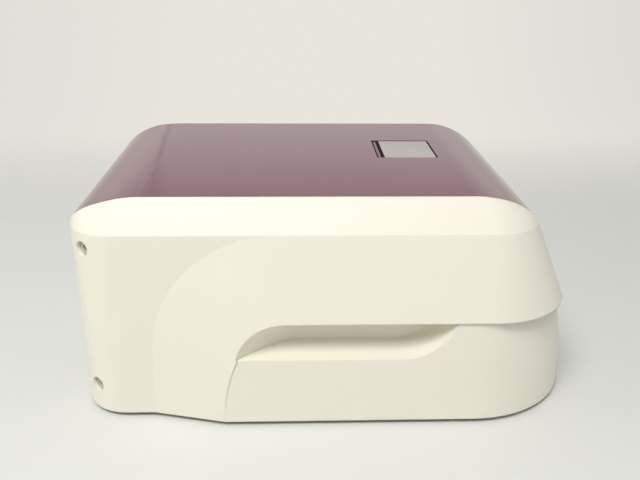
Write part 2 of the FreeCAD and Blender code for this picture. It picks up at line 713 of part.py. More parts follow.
well_outer = block("well_outer", ("hatch_length + 2 * well_wall", "hatch_width + 2 * well_wall",
                                  LID_UNDER + " - well_foot"),
                   (HATCH_X + " - well_wall", "hatch_side - well_wall", "well_foot"))
well_flange = block("well_flange", ("hatch_length + 2 * well_flange", "hatch_width + 2 * well_flange",
                                    "well_wall"),
                    (HATCH_X + " - well_flange", "hatch_side - well_flange", LID_UNDER + " - well_wall"))
well_room = block("well_room", ("hatch_length", "hatch_width", "body_height"),
                  (HATCH_X, "hatch_side", "well_foot - well_wall"))
ears = []
for index, side in enumerate(["hatch_side + part_gap", "hatch_side + hatch_width - part_gap - hatch_ear"]):
    ears.append(block("hatch_ear_%d" % (index + 1),
                      ("hatch_ear_length - part_gap", "hatch_ear", "hatch_pin_sink + hatch_ear_depth"),
                      (HATCH_X + " + part_gap", side, PIN_Z + " - hatch_ear_depth")))
    ears.append(block("hatch_ear_foot_%d" % (index + 1),
                      ("hatch_ear_length", "hatch_ear + part_gap", "hatch_ear_foot"),
                      (HATCH_X, "hatch_side" if index == 0 else side,
                       LID_UNDER + " - hatch_ear_clear - hatch_ear_foot")))
rest = block("hatch_rest_bar", ("hatch_rest", "hatch_width", "well_wall"),
             (HATCH_X + " + hatch_length - hatch_rest", "hatch_side",
              "body_height - hatch_sink - hatch_thickness - well_wall"))
well_open = carved("well_open", joined("well_solid", [well_outer, well_flange]), [well_room])
ear_cap = block("ear_cap", ("3 * hatch_pin_in", "hatch_width", "hatch_sink"),
                (HATCH_X, "hatch_side", "body_height - hatch_sink"))
pin_bore = rod("pin_bore", "hatch_pin_radius + fit_play", "hatch_width - 2 * (part_gap + hatch_pin_end)",
               (HATCH_X + " + hatch_pin_in", "hatch_side + part_gap + hatch_pin_end", PIN_Z), "y")
node(carved("hatch_frame", joined("hatch_frame_solid", [well_open, rest] + ears), [pin_bore, ear_cap]))

BARREL_Y = "hatch_side + part_gap + hatch_ear + hatch_ear_gap"
BARREL_LENGTH = "hatch_width - 2 * (part_gap + hatch_ear + hatch_ear_gap)"
plate = block("hatch_slab", ("hatch_length - hatch_hinge_gap - hatch_gap", "hatch_width - 2 * hatch_gap",
                             "hatch_thickness"),
              (HATCH_X + " + hatch_hinge_gap", "hatch_side + hatch_gap",
               "body_height - hatch_sink - hatch_thickness"))
web = block("hatch_web_solid", ("hatch_hinge_gap - hatch_pin_in + hatch_web_lap", BARREL_LENGTH, "hatch_web"),
            (HATCH_X + " + hatch_pin_in", BARREL_Y, PIN_Z + " - hatch_web_drop"))
barrel = rod("hatch_barrel_solid", "hatch_barrel", BARREL_LENGTH,
             (HATCH_X + " + hatch_pin_in", BARREL_Y, PIN_Z), "y")
finger = rod("hatch_finger_room", "hatch_finger", "2 * hatch_finger_depth",
             (HATCH_X + " + hatch_length - hatch_gap - hatch_finger_in", "hatch_side + hatch_width / 2",
              "body_height - hatch_sink - hatch_thickness - hatch_finger_depth"))
barrel_bore = rod("hatch_barrel_bore", "hatch_pin_radius + fit_play", "hatch_width",
                  (HATCH_X + " + hatch_pin_in", "hatch_side", PIN_Z), "y")
node(carved("hatch_plate", joined("hatch_plate_solid", [plate, web, barrel]), [barrel_bore, finger]))
node(rod("hatch_pin", "hatch_pin_radius", "hatch_width - 2 * (part_gap + hatch_pin_end + 2 * fit_play)",
         (HATCH_X + " + hatch_pin_in", "hatch_side + part_gap + hatch_pin_end + 2 * fit_play", PIN_Z), "y"))

# Base plate, feet, corner posts and cover screws

sized([
    ("plate_thickness", 2.0, "thickness of the base plate"),
    ("foot_radius", 11.0, "radius of a foot"),
    ("foot_spacing_x", 300.0, "feet along the body"),
    ("foot_spacing_y", 190.0, "feet across the body"),
    ("foot_chamfer", 1.5, "taper of a foot at its tread"),
    ("foot_hole", 3.4, "radius of the recess in a foot"),
    ("post_width", 18.0, "width of a corner post"),
    ("post_depth", 12.0, "depth of a corner post"),
    ("post_high", 150.0, "bench to the top of the corner posts"),
    ("vent_count", 15, "vent slots in a row of the base plate"),
    ("vent_start", 55.0, "rear face to the first vent slot"),
    ("vent_pitch", 9.0, "spacing of the vent slots"),
    ("vent_width", 3.0, "width of a vent slot"),
    ("vent_length", 19.0, "length of a vent slot between its round ends"),
    ("vent_near", 26.5, "middle to the start of the near row of vent slots"),
    ("vent_far", 40.0, "middle to the start of the far row of vent slots"),
])

floor_slab = Part.makeBox(2 * dim.body_length, 2 * dim.body_length, dim.plate_thickness,
                          Vector(-dim.body_length, -dim.body_length, dim.foot_gap))
vents = []
for row in (-dim.vent_near, dim.vent_far):
    for step in range(int(dim.vent_count)):
        start = Vector(REAR + dim.vent_start + step * dim.vent_pitch, row, dim.foot_gap - 1)
        slot = Part.makeBox(dim.vent_width, dim.vent_length, 2 * dim.plate_thickness,
                            start - Vector(dim.vent_width / 2, 0, 0))
        ends = [Part.makeCylinder(dim.vent_width / 2, 2 * dim.plate_thickness, start + Vector(0, reach, 0))
                for reach in (0, dim.vent_length)]
        vents.append(slot.fuse(ends))
node(shaped("base_plate", body_form(dim.wall + dim.part_gap, dim.foot_gap).common(floor_slab).cut(vents)))

feet = []
for index, (way_x, way_y) in enumerate([(-1, -1), (-1, 1), (1, -1), (1, 1)]):
    at = ("%d * foot_spacing_x / 2" % way_x, "%d * foot_spacing_y / 2" % way_y)
    tread = cone("foot_tread_%d" % index, "foot_radius - foot_chamfer", "foot_radius", "foot_chamfer",
                 at + ("0",))
    drum = rod("foot_drum_%d" % index, "foot_radius", "foot_gap - foot_chamfer", at + ("foot_chamfer",))
    hole = rod("foot_hole_%d" % index, "foot_hole", "foot_gap / 2", at + ("0",))
    feet.append(carved("foot_%d" % index, joined("foot_solid_%d" % index, [tread, drum]), [hole]))
node(grouped("feet", feet))

FLOOR = dim.foot_gap + dim.plate_thickness
post_turn = Rotation(Vector(0, 0, 1), 180 + dim.screw_turn)
side_way = Vector(-screw_way().y, screw_way().x, 0)
post_front = corner_axis(dim.screw_low, dim.screw_boss_depth + dim.part_gap)
post_start = post_front + screw_way() * dim.post_depth + side_way * (dim.post_width / 2)
post = Part.makeBox(dim.post_depth, dim.post_width, dim.post_high - FLOOR)
post.Placement = Placement(Vector(post_start.x, post_start.y, FLOOR), post_turn)
for height in SCREW_HEIGHTS:
    post = post.cut(corner_round(height, dim.screw_shank + dim.fit_play, 0, 3 * dim.screw_length))
node(shaped("corner_post_near", post))
node(shaped("corner_post_far", mirrored(post)))

screws = []
for height in SCREW_HEIGHTS:
    head = corner_round(height, dim.screw_head, dim.screw_sink, dim.screw_head_height)
    shank = corner_round(height, dim.screw_shank, dim.screw_sink, dim.screw_head_height + dim.screw_length)
    drive = corner_round(height, dim.screw_drive, dim.screw_sink, dim.screw_drive_depth)
    screw = head.fuse(shank).cut(drive)
    screws += [screw, mirrored(screw)]
node(shaped("cover_screws", Part.makeCompound(screws)))

# Rear panel with its fittings

sized([
    ("panel_thickness", 1.5, "thickness of the rear panel"),
    ("panel_screw_head", 3.6, "radius of a rear panel screw's head"),
    ("panel_screw_height", 2.2, "height of a rear panel screw's head"),
    ("panel_screw_tail", 3.0, "rear panel screw past the panel"),
    ("panel_drive", 2.9, "socket of a rear panel screw across flats"),
    ("panel_drive_depth", 1.3, "depth of the socket in a rear panel screw"),
    ("overrun", 1.0, "cutting form past the face that it cuts"),
    ("fan_y", 50.0, "middle to the fan axis"),
    ("fan_z", 80.0, "bench to the fan axis"),
    ("fan_size", 60.0, "side of the fan frame"),
    ("fan_depth", 15.0, "depth of the fan frame"),
    ("fan_bore", 28.0, "radius of the fan bore"),
    ("fan_hub", 13.0, "radius of the fan hub"),
    ("fan_blade_gap", 1.0, "gap between blades and fan bore"),
    ("fan_blade", 1.4, "thickness of a fan blade"),
    ("fan_blade_swing", 4.5, "half width of a fan blade across"),
    ("fan_motor", 11.0, "radius of the fan motor plate"),
    ("fan_plate", 2.5, "thickness of the fan motor plate"),
    ("fan_arm", 5.0, "width of a fan frame arm"),
    ("fan_shaft", 1.5, "radius of the fan shaft"),
    ("fan_shaft_in", 2.0, "panel to the end of the fan shaft"),
    ("fan_hub_in", 1.0, "panel to the face of the fan hub"),
    ("fan_lap", 0.5, "lap of an arm in the fan frame"),
    ("fan_hub_lap", 1.0, "lap of a fan blade in the hub"),
    ("fan_blade_in", 1.6, "panel to the edge of a fan blade"),
    ("fan_pitch", 25.0, "fan axis to a fan screw across and up"),
    ("fan_hole", 2.2, "radius of a fan screw hole"),
    ("guard_thickness", 1.2, "thickness of the fan guard"),
    ("guard_width", 1.8, "width of a ring of the fan guard"),
    ("guard_pitch", 8.5, "spacing of the guard rings"),
    ("guard_tail", 3.0, "guard spoke past the fan screws"),
    ("guard_eye", 3.8, "radius of a guard eye round a fan screw"),
    ("guard_hole", 1.6, "radius of a hole in a guard eye"),
    ("inlet_y", 78.0, "middle to the near side of the power inlet"),
    ("inlet_z", 26.0, "bench to the foot of the power inlet"),
    ("inlet_width", 28.0, "width of the power inlet"),
    ("inlet_height", 22.0, "height of the power inlet"),
    ("inlet_depth", 20.0, "depth of the power inlet"),
    ("inlet_wall", 2.0, "wall of the power inlet"),
    ("inlet_pin", 4.0, "height of an inlet pin"),
    ("inlet_pin_thickness", 2.0, "thickness of an inlet pin"),
    ("inlet_pin_pitch", 7.0, "spacing of the inlet pins"),
    ("inlet_pin_in", 3.0, "panel to the tips of the inlet pins"),
    ("inlet_pin_low", 1.0, "outer inlet pins under the middle of the inlet"),
    ("inlet_pin_rise", 3.0, "middle inlet pin over the outer ones"),
    ("flange_lap", 2.0, "lap of a fitting over the panel"),
    ("flange_thickness", 1.6, "thickness of a fitting's flange"),
    ("rocker_y", 34.0, "middle to the rocker switch"),
    ("rocker_z", 37.0, "bench to the rocker's axis"),
    ("rocker_width", 12.0, "width of the rocker's room"),
    ("rocker_reach", 9.0, "half height of the rocker's room"),
    ("rocker_depth", 16.0, "depth of the rocker switch"),
    ("rocker_wall", 1.6, "wall of the rocker switch"),
    ("rocker_gap", 0.4, "gap round the rocker"),
    ("rocker_pivot", 1.2, "radius of the rocker's pivot"),
    ("rocker_tilt", 7.0, "tilt of the rocker at either end"),
    ("rocker_inset", 4.0, "panel to the rocker's axis"),
    ("rocker_front", 5.4, "rocker axis to its upper corner"),
    ("rocker_dip", 3.8, "rocker axis to the dip of its face"),
    ("rocker_corner", 2.4, "top of the rocker down to its front corner"),
    ("rocker_heel", 3.0, "top of the rocker's room down to its heel"),
    ("rocker_play", 0.2, "end play of the rocker's pivot"),
    ("socket_y", 12.0, "middle to the near side of the data socket"),
    ("socket_z", 30.0, "bench to the foot of the data socket"),
    ("socket_width", 12.0, "width of the data socket"),
    ("socket_height", 11.0, "height of the data socket"),
    ("socket_depth", 16.0, "depth of the data socket"),
    ("socket_wall", 0.8, "wall of the data socket"),
    ("socket_tongue", 14.0, "length of the data socket's tongue"),
    ("port_y", 86.0, "middle to the fluid ports"),
    ("port_z", 40.0, "bench to the lowest fluid port"),
    ("port_pitch", 18.0, "spacing of the fluid ports"),
    ("port_bore", 1.2, "radius of the fluid path"),
    ("port_body", 3.5, "radius of a fluid port's thread"),
    ("port_nut", 10.0, "nut of a fluid port across flats"),
    ("port_nut_height", 3.0, "height of a fluid port's nut"),
    ("port_barb", 2.9, "radius of a barb"),
    ("port_stem", 2.1, "radius of a fluid port's stem"),
    ("port_reach", 7.0, "length of a fluid port's stem"),
    ("port_lock_gap", 6.0, "thread of a fluid port behind the panel"),
])

PANEL_X = "rear_recess - body_length / 2"
BEHIND = "rear_recess - body_length / 2 + panel_thickness"
FLOOR_Z = "foot_gap + plate_thickness"
LUG_Y = "rear_opening_half - lug / 2"
LUG_LOW = "rear_opening_low + lug / 2"
LUG_HIGH = "rear_opening_high - lug / 2"

panel = MODEL.addObject("PartDesign::Body", "rear_panel")
panel_face = sketch_in(panel, "rear_panel_outline", "YZ_Plane", PANEL_X)
oblong(panel_face, ("-(rear_opening_half + wall - part_gap)", FLOOR_Z),
       ("rear_opening_half + wall - part_gap", "rear_opening_high + wall - part_gap"))
ring(panel_face, ("fan_y", "fan_z"), "fan_bore")
for across in ("fan_y - fan_pitch", "fan_y + fan_pitch"):
    for height in ("fan_z - fan_pitch", "fan_z + fan_pitch"):
        ring(panel_face, (across, height), "fan_hole")
oblong(panel_face, ("-inlet_y", "inlet_z"), ("-inlet_y + inlet_width", "inlet_z + inlet_height"))
oblong(panel_face, ("-(rocker_y + rocker_width / 2 + rocker_wall)", "rocker_z - rocker_reach - rocker_wall"),
       ("-(rocker_y - rocker_width / 2 - rocker_wall)", "rocker_z + rocker_reach + rocker_wall"))
oblong(panel_face, ("-socket_y", "socket_z"), ("-socket_y + socket_width", "socket_z + socket_height"))
for step in range(3):
    ring(panel_face, ("port_y", "port_z + %d * port_pitch" % step), "port_body + fit_play")
for across in ("-(%s)" % LUG_Y, LUG_Y):
    for height in (LUG_LOW, LUG_HIGH):
        ring(panel_face, (across, height), "panel_screw + fit_play")
raised(panel, "rear_panel_sheet", panel_face, "panel_thickness")
node(panel)

panel_screws = []
for index, (across, height) in enumerate([("-(%s)" % LUG_Y, LUG_LOW), ("-(%s)" % LUG_Y, LUG_HIGH),
                                          (LUG_Y, LUG_LOW), (LUG_Y, LUG_HIGH)]):
    shank = rod("panel_shank_%d" % index, "panel_screw", "lug_depth + panel_thickness + panel_screw_tail",
                (PANEL_X + " - lug_depth", across, height), "x")
    head = rod("panel_head_%d" % index, "panel_screw_head", "panel_screw_height",
               (PANEL_X + " - lug_depth - panel_screw_height", across, height), "x")
    drive = hexagon("panel_drive_%d" % index, "panel_drive", "panel_drive_depth + overrun",
                    (PANEL_X + " - lug_depth - panel_screw_height - overrun", across, height), "x")
    panel_screws.append(carved("panel_screw_%d" % index,
                               joined("panel_screw_solid_%d" % index, [shank, head]),
                               [drive]))
node(grouped("panel_screws", panel_screws))

# Cooling fan: frame with motor plate, rotor and wire guard

MOTOR_X = BEHIND + " + fan_depth - fan_plate"
frame_block = block("fan_square", ("fan_depth", "fan_size", "fan_size"),
                    (BEHIND, "fan_y - fan_size / 2", "fan_z - fan_size / 2"))
fan_room = rod("fan_room", "fan_bore", "fan_depth + 2 * overrun", (PANEL_X, "fan_y", "fan_z"), "x")
fan_holes = [rod("fan_hole_%d" % index, "fan_hole", "fan_depth + 2 * overrun", (PANEL_X, across, height), "x")
             for index, (across, height) in enumerate([
                 ("fan_y - fan_pitch", "fan_z - fan_pitch"), ("fan_y - fan_pitch", "fan_z + fan_pitch"),
                 ("fan_y + fan_pitch", "fan_z - fan_pitch"), ("fan_y + fan_pitch", "fan_z + fan_pitch")])]
motor_plate = rod("fan_motor_plate", "fan_motor", "fan_plate", (MOTOR_X, "fan_y", "fan_z"), "x")
arm_across = block("fan_arm_across", ("fan_plate", "2 * (fan_bore + fan_lap)", "fan_arm"),
                   (MOTOR_X, "fan_y - fan_bore - fan_lap", "fan_z - fan_arm / 2"))
arm_up = block("fan_arm_up", ("fan_plate", "fan_arm", "2 * (fan_bore + fan_lap)"),
               (MOTOR_X, "fan_y - fan_arm / 2", "fan_z - fan_bore - fan_lap"))
fan_axle = rod("fan_axle", "fan_shaft", "fan_depth - fan_plate - fan_shaft_in",
               (BEHIND + " + fan_shaft_in", "fan_y", "fan_z"), "x")
fan_shell = carved("fan_shell", frame_block, [fan_room] + fan_holes)
node(joined("fan_frame", [fan_shell, motor_plate, arm_across, arm_up, fan_axle]))

rotor = MODEL.addObject("PartDesign::Body", "fan_rotor")
hub_face = sketch_in(rotor, "fan_hub_face", "YZ_Plane", "fan_hub_in")
ring(hub_face, ("0", "0"), "fan_hub")
ring(hub_face, ("0", "0"), "fan_shaft + fit_play")
raised(rotor, "fan_hub_drum", hub_face, "fan_depth - fan_plate - 2 * fan_hub_in")
blade_face = sketch_in(rotor, "fan_blade_face", "XY_Plane", "fan_hub - fan_hub_lap")
outline(blade_face, [("fan_blade_in", "-fan_blade_swing"), ("fan_blade_in + fan_blade", "-fan_blade_swing"),
                     ("fan_depth - fan_plate - fan_blade_in", "fan_blade_swing"),
                     ("fan_depth - fan_plate - fan_blade_in - fan_blade", "fan_blade_swing")])
blade = raised(rotor, "fan_blade_pad", blade_face, "fan_bore - fan_blade_gap - fan_hub")
patterned(rotor, "fan_blades", blade, "X_Axis", 7)
placed(rotor, (BEHIND, "fan_y", "fan_z"))
node(rotor)

GUARD_X = PANEL_X + " - guard_thickness"
guard = []
for step in (1, 2, 3):
    rim_plate = rod("guard_plate_%d" % step, "%d * guard_pitch + guard_width / 2" % step, "guard_thickness",
                    (GUARD_X, "fan_y", "fan_z"), "x")
    rim_room = rod("guard_room_%d" % step, "%d * guard_pitch - guard_width / 2" % step,
                   "guard_thickness + 2 * overrun",
                   (GUARD_X + " - overrun", "fan_y", "fan_z"), "x")
    guard.append(carved("guard_ring_%d" % step, rim_plate, [rim_room]))
for index, lean in enumerate((45, 135)):
    spoke = MODEL.addObject("Part::Box", "guard_spoke_%d" % index)
    spoke.setExpression("Length", tied("guard_thickness"))
    spoke.setExpression("Width", tied("2 * (sqrt(2) * fan_pitch + guard_tail)"))
    spoke.setExpression("Height", tied("guard_width"))
    across = "(sqrt(2) * fan_pitch + guard_tail) * sqrt(0.5)"
    side = "guard_width / 2 * sqrt(0.5)"
    if lean == 45:
        at = ("fan_y - %s + %s" % (across, side), "fan_z - %s - %s" % (across, side))
    else:
        at = ("fan_y + %s + %s" % (across, side), "fan_z - %s + %s" % (across, side))
    guard.append(placed(spoke, (GUARD_X,) + at, turn=Rotation(Vector(1, 0, 0), lean)))
guard_holes = [rod("guard_hole_%d" % index, "guard_hole", "guard_thickness + 2 * overrun",
                   (GUARD_X + " - overrun", y, z), "x")
               for index, (y, z) in enumerate([
                   ("fan_y - fan_pitch", "fan_z - fan_pitch"), ("fan_y - fan_pitch", "fan_z + fan_pitch"),
                   ("fan_y + fan_pitch", "fan_z - fan_pitch"), ("fan_y + fan_pitch", "fan_z + fan_pitch")])]
eyes = [rod("guard_eye_%d" % index, "guard_eye", "guard_thickness", (GUARD_X, y, z), "x")
        for index, (y, z) in enumerate([
            ("fan_y - fan_pitch", "fan_z - fan_pitch"), ("fan_y - fan_pitch", "fan_z + fan_pitch"),
            ("fan_y + fan_pitch", "fan_z - fan_pitch"), ("fan_y + fan_pitch", "fan_z + fan_pitch")])]
node(carved("fan_guard", joined("guard_solid", guard + eyes), guard_holes))

# Power inlet, rocker switch, data socket and fluid ports

flange = block("inlet_flange", ("flange_thickness", "inlet_width + 2 * flange_lap",
                                "inlet_height + 2 * flange_lap"),
               (PANEL_X + " - flange_thickness", "-inlet_y - flange_lap", "inlet_z - flange_lap"))
inlet_body = block("inlet_body", ("inlet_depth", "inlet_width", "inlet_height"),
                   (PANEL_X, "-inlet_y", "inlet_z"))
inlet_room = block("inlet_room", ("inlet_depth - inlet_wall + flange_thickness + overrun",
                                  "inlet_width - 2 * inlet_wall",
                                  "inlet_height - 2 * inlet_wall"),
                   (PANEL_X + " - flange_thickness - overrun", "inlet_wall - inlet_y",
                    "inlet_z + inlet_wall"))
node(carved("power_inlet", joined("inlet_solid", [flange, inlet_body]), [inlet_room]))
PIN_LOW = "inlet_z + inlet_height / 2 - inlet_pin / 2 - inlet_pin_low"
pins = []
for index, (shift, rise) in enumerate([(-1, 0), (0, 1), (1, 0)]):
    pins.append(block("inlet_pin_%d" % index, ("inlet_depth - inlet_wall - inlet_pin_in",
                                               "inlet_pin_thickness", "inlet_pin"),
                      (PANEL_X + " + inlet_pin_in",
                       "inlet_width / 2 - inlet_y - inlet_pin_thickness / 2 + %d * inlet_pin_pitch" % shift,
                       PIN_LOW + " + %d * inlet_pin_rise" % rise)))
node(grouped("inlet_pins", pins))

ROOM_Y = "-(rocker_y + rocker_width / 2)"
rocker_flange = block("rocker_flange", ("flange_thickness", "rocker_width + 2 * (rocker_wall + flange_lap)",
                                        "2 * (rocker_reach + rocker_wall + flange_lap)"),
                      (PANEL_X + " - flange_thickness", ROOM_Y + " - rocker_wall - flange_lap",
                       "rocker_z - rocker_reach - rocker_wall - flange_lap"))
rocker_body = block("rocker_body", ("rocker_depth", "rocker_width + 2 * rocker_wall",
                                    "2 * (rocker_reach + rocker_wall)"),
                    (PANEL_X, ROOM_Y + " - rocker_wall", "rocker_z - rocker_reach - rocker_wall"))
rocker_room = block("rocker_room", ("rocker_depth + flange_thickness - rocker_wall + overrun", "rocker_width",
                                    "2 * rocker_reach"),
                    (PANEL_X + " - flange_thickness - overrun", ROOM_Y, "rocker_z - rocker_reach"))
rocker_bore = rod("rocker_bore", "rocker_pivot + fit_play", "rocker_width + 2 * rocker_wall",
                  (PANEL_X + " + rocker_inset", ROOM_Y + " - rocker_wall", "rocker_z"), "y")
node(carved("rocker_frame", joined("rocker_solid", [rocker_flange, rocker_body]), [rocker_room, rocker_bore]))

rocker = MODEL.addObject("PartDesign::Body", "power_rocker")
rocker_face = sketch_in(rocker, "rocker_face", "XZ_Plane")
outline(rocker_face, [("-rocker_dip", "0"), ("-rocker_front", "rocker_reach - rocker_gap - rocker_corner"),
                      ("0", "rocker_reach - rocker_gap"), ("rocker_inset", "rocker_reach - rocker_heel"),
                      ("rocker_inset", "-(rocker_reach - rocker_heel)"), ("0",
                                                                          "-(rocker_reach - rocker_gap)"),
                      ("-rocker_front", "-(rocker_reach - rocker_gap - rocker_corner)")])
raised(rocker, "rocker_pad", rocker_face, "rocker_width - 2 * rocker_gap", both_ways=True)
pivot_face = sketch_in(rocker, "rocker_pivot_face", "XZ_Plane")
ring(pivot_face, ("0", "0"), "rocker_pivot")
raised(rocker, "rocker_pivot_pad", pivot_face, "rocker_width + 2 * (rocker_wall - rocker_play)",
       both_ways=True)
placed(rocker, (PANEL_X + " + rocker_inset", "-rocker_y", "rocker_z"),
       turn=Rotation(Vector(0, 1, 0), -dim.rocker_tilt))
node(rocker)

socket_body = block("socket_body", ("socket_depth + flange_thickness", "socket_width", "socket_height"),
                    (PANEL_X + " - flange_thickness", "-socket_y", "socket_z"))
socket_room = block("socket_room", ("socket_depth", "socket_width - 2 * socket_wall",
                                    "socket_height - 2 * socket_wall"),
                    (PANEL_X + " - flange_thickness - overrun", "socket_wall - socket_y",
                     "socket_z + socket_wall"))
tongue = block("socket_tongue_bar", ("socket_tongue", "socket_width / 2", "socket_height / 3"),
               (PANEL_X, "socket_width / 4 - socket_y", "socket_z + socket_height / 3"))
node(joined("data_socket", [carved("socket_case", socket_body, [socket_room]), tongue]))

ports = []
for step in range(3):
    at = ("port_y", "port_z + %d * port_pitch" % step)
    thread = rod("port_thread_%d" % step, "port_body", "panel_thickness + port_lock_gap", (PANEL_X,) + at,
                 "x")
    nut = hexagon("port_nut_%d" % step, "port_nut", "port_nut_height",
                  (PANEL_X + " - port_nut_height",) + at, "x")
    lock = hexagon("port_lock_%d" % step, "port_nut", "port_nut_height", (BEHIND,) + at, "x")
    stem = rod("port_stem_%d" % step, "port_stem",
               "2 * port_reach + panel_thickness + port_nut_height + port_lock_gap",
               (PANEL_X + " - port_nut_height - port_reach",) + at, "x")
    barb = cone("port_barb_%d" % step, "port_stem", "port_barb", "port_reach / 3",
                (PANEL_X + " - port_nut_height - port_reach",) + at, "x")
    inner_barb = cone("port_inner_barb_%d" % step, "port_stem", "port_barb", "port_reach / 3",
                      (BEHIND + " + port_reach + port_lock_gap",) + at, "-x")
    path = rod("port_path_%d" % step, "port_bore", "4 * port_reach + port_nut_height + port_lock_gap",
               (PANEL_X + " - port_nut_height - port_reach - overrun",) + at, "x")
    solid = joined("port_solid_%d" % step, [thread, nut, lock, stem, barb, inner_barb])
    ports.append(carved("port_%d" % step, solid, [path]))
node(grouped("fluid_ports", ports))

# Power supply and main board on the base plate

sized([
    ("supply_x", 160.0, "middle back to the rear end of the power supply"),
    ("supply_y", 110.0, "middle to the near side of the power supply"),
    ("supply_length", 78.0, "length of the power supply"),
    ("supply_width", 80.0, "width of the power supply"),
    ("supply_height", 38.0, "height of the power supply"),
    ("supply_wall", 1.2, "sheet of the power supply's case"),
    ("supply_slot", 2.4, "width of a vent slot"),
    ("supply_slot_pitch", 7.0, "spacing of the vent slots"),
    ("terminal_height", 9.0, "height of the terminal strip"),
    ("terminal_width", 12.0, "width of the terminal strip"),
    ("terminal_length", 48.0, "length of the terminal strip"),
    ("terminal_in", 16.0, "side of the power supply to the terminal strip"),
    ("terminal_bay", 6.4, "width of a terminal's bay"),
    ("terminal_pitch", 8.8, "spacing of the terminals"),
    ("terminal_wall", 3.0, "wall of the terminal strip"),
    ("board_x", 70.0, "middle back to the rear edge of the main board"),
    ("board_y", 112.0, "middle to the near edge of the main board"),
    ("board_length", 96.0, "length of the main board"),
    ("board_width", 82.0, "width of the main board"),
    ("board_thickness", 1.6, "thickness of the main board"),
    ("board_rise", 8.0, "height of the board pillars"),
    ("pillar_radius", 3.0, "radius of a board pillar"),
    ("pillar_inset", 5.0, "board edge to a pillar"),
    ("pillar_screw", 1.5, "radius of a board screw"),
    ("pillar_cap", 1.6, "height of a board screw's head"),
    ("chip", 14.0, "side of the main chip"),
    ("small_chip", 8.4, "side of a small chip"),
    ("chip_x", 14.0, "board's rear edge to the chips"),
    ("chip_y", 28.0, "board's near edge to the chips"),
    ("chip_height", 1.6, "height of a chip"),
    ("chip_pitch", 20.0, "spacing of the chips"),
    ("can_radius", 4.0, "radius of a capacitor"),
    ("can_height", 11.0, "height of a capacitor"),
    ("can_pitch", 10.0, "spacing of the capacitors"),
    ("can_x", 20.0, "board's rear edge to the first capacitor"),
    ("can_y", 10.0, "board's far edge to the capacitors"),
    ("header_length", 24.0, "length of a cable header"),
    ("header_width", 6.0, "width of a cable header"),
    ("header_height", 8.0, "height of a cable header"),
    ("header_x", 14.0, "board's rear edge to the first header"),
    ("header_y", 8.0, "board's near edge to the headers"),
    ("header_gap", 8.0, "gap between the headers"),
    ("header_wall", 1.5, "wall of a cable header"),
    ("header_floor", 2.0, "floor of a cable header"),
])

supply_outer = block("supply_outer", ("supply_length", "supply_width", "supply_height"),
                     ("-supply_x", "-supply_y", FLOOR_Z))
supply_room = block("supply_room", ("supply_length - 2 * supply_wall", "supply_width - 2 * supply_wall",
                                    "supply_height - 2 * supply_wall"),
                    ("supply_wall - supply_x", "supply_wall - supply_y", FLOOR_Z + " + supply_wall"))
vents = [block("supply_vent_%d" % step, ("supply_slot", "supply_width / 2", "3 * supply_wall"),
               ("-supply_x + supply_length / 5 + %d * supply_slot_pitch" % step,
                "supply_width / 4 - supply_y",
                FLOOR_Z + " + supply_height - 2 * supply_wall")) for step in range(7)]
node(carved("power_supply", supply_outer, [supply_room] + vents))
TERMINAL_X = "supply_length - supply_x"
strip = block("terminal_base", ("terminal_width", "terminal_length", "terminal_height"),
              (TERMINAL_X, "terminal_in - supply_y", FLOOR_Z))
bays = [block("terminal_bay_%d" % step, ("terminal_width", "terminal_bay", "terminal_height"),
              (TERMINAL_X + " + terminal_wall",
               "terminal_in - supply_y + terminal_wall + %d * terminal_pitch" % step,
               FLOOR_Z + " + terminal_height / 3")) for step in range(5)]
node(carved("terminal_strip", strip, bays))

BOARD_Z = FLOOR_Z + " + board_rise"
BOARD_TOP = FLOOR_Z + " + board_rise + board_thickness"
board = MODEL.addObject("PartDesign::Body", "main_board")
board_face = sketch_in(board, "main_board_outline", "XY_Plane")
oblong(board_face, ("0", "0"), ("board_length", "board_width"))
board_corners = [(x, y) for x in ("pillar_inset", "board_length - pillar_inset")
                 for y in ("pillar_inset", "board_width - pillar_inset")]
for corner in board_corners:
    ring(board_face, corner, "pillar_screw")
raised(board, "main_board_sheet", board_face, "board_thickness")
placed(board, ("-board_x", "-board_y", BOARD_Z))
node(board)
pillars = []
for index, (x, y) in enumerate(board_corners):
    at = ("-board_x + " + x, "-board_y + " + y)
    pillar = hexagon("pillar_%d" % index, "2 * pillar_radius", "board_rise", at + (FLOOR_Z,))
    stub = rod("pillar_stub_%d" % index, "pillar_screw - fit_play", "board_thickness + pillar_cap / 2",
               at + (BOARD_Z,))
    cap = rod("pillar_cap_%d" % index, "pillar_radius", "pillar_cap", at + (BOARD_TOP,))
    pillars.append(joined("board_pillar_%d" % index, [pillar, stub, cap]))
node(grouped("board_pillars", pillars))
chips = []
for row in range(2):
    for step in range(3):
        side = "chip" if row == 0 else "small_chip"
        chips.append(block("chip_%d_%d" % (row, step), (side, side, "chip_height"),
                           ("-board_x + chip_x + %d * chip_pitch" % step,
                            "-board_y + chip_y + %d * chip_pitch" % row, BOARD_TOP)))
node(grouped("board_chips", chips))
cans = [rod("can_%d" % step, "can_radius", "can_height",
            ("-board_x + can_x + %d * can_pitch" % step, "-board_y + board_width - can_y", BOARD_TOP))
        for step in range(5)]
node(grouped("board_capacitors", cans))
headers = []
for step in range(2):
    shell_block = block("header_%d" % step, ("header_length", "header_width", "header_height"),
                        ("-board_x + header_x + %d * (header_length + header_gap)" % step,
                         "-board_y + header_y", BOARD_TOP))
    shell_room = block("header_room_%d" % step, ("header_length - 2 * header_wall",
                                                 "header_width - 2 * header_wall",
                                               "header_height"),
                       ("-board_x + header_x + header_wall + %d * (header_length + header_gap)" % step,
                        "-board_y + header_y + header_wall", BOARD_TOP + " + header_floor"))
    headers.append(carved("header_case_%d" % step, shell_block, [shell_room]))
node(grouped("board_headers", headers))

# Optics: damped plate, laser, flow cell, mirrors and light detectors

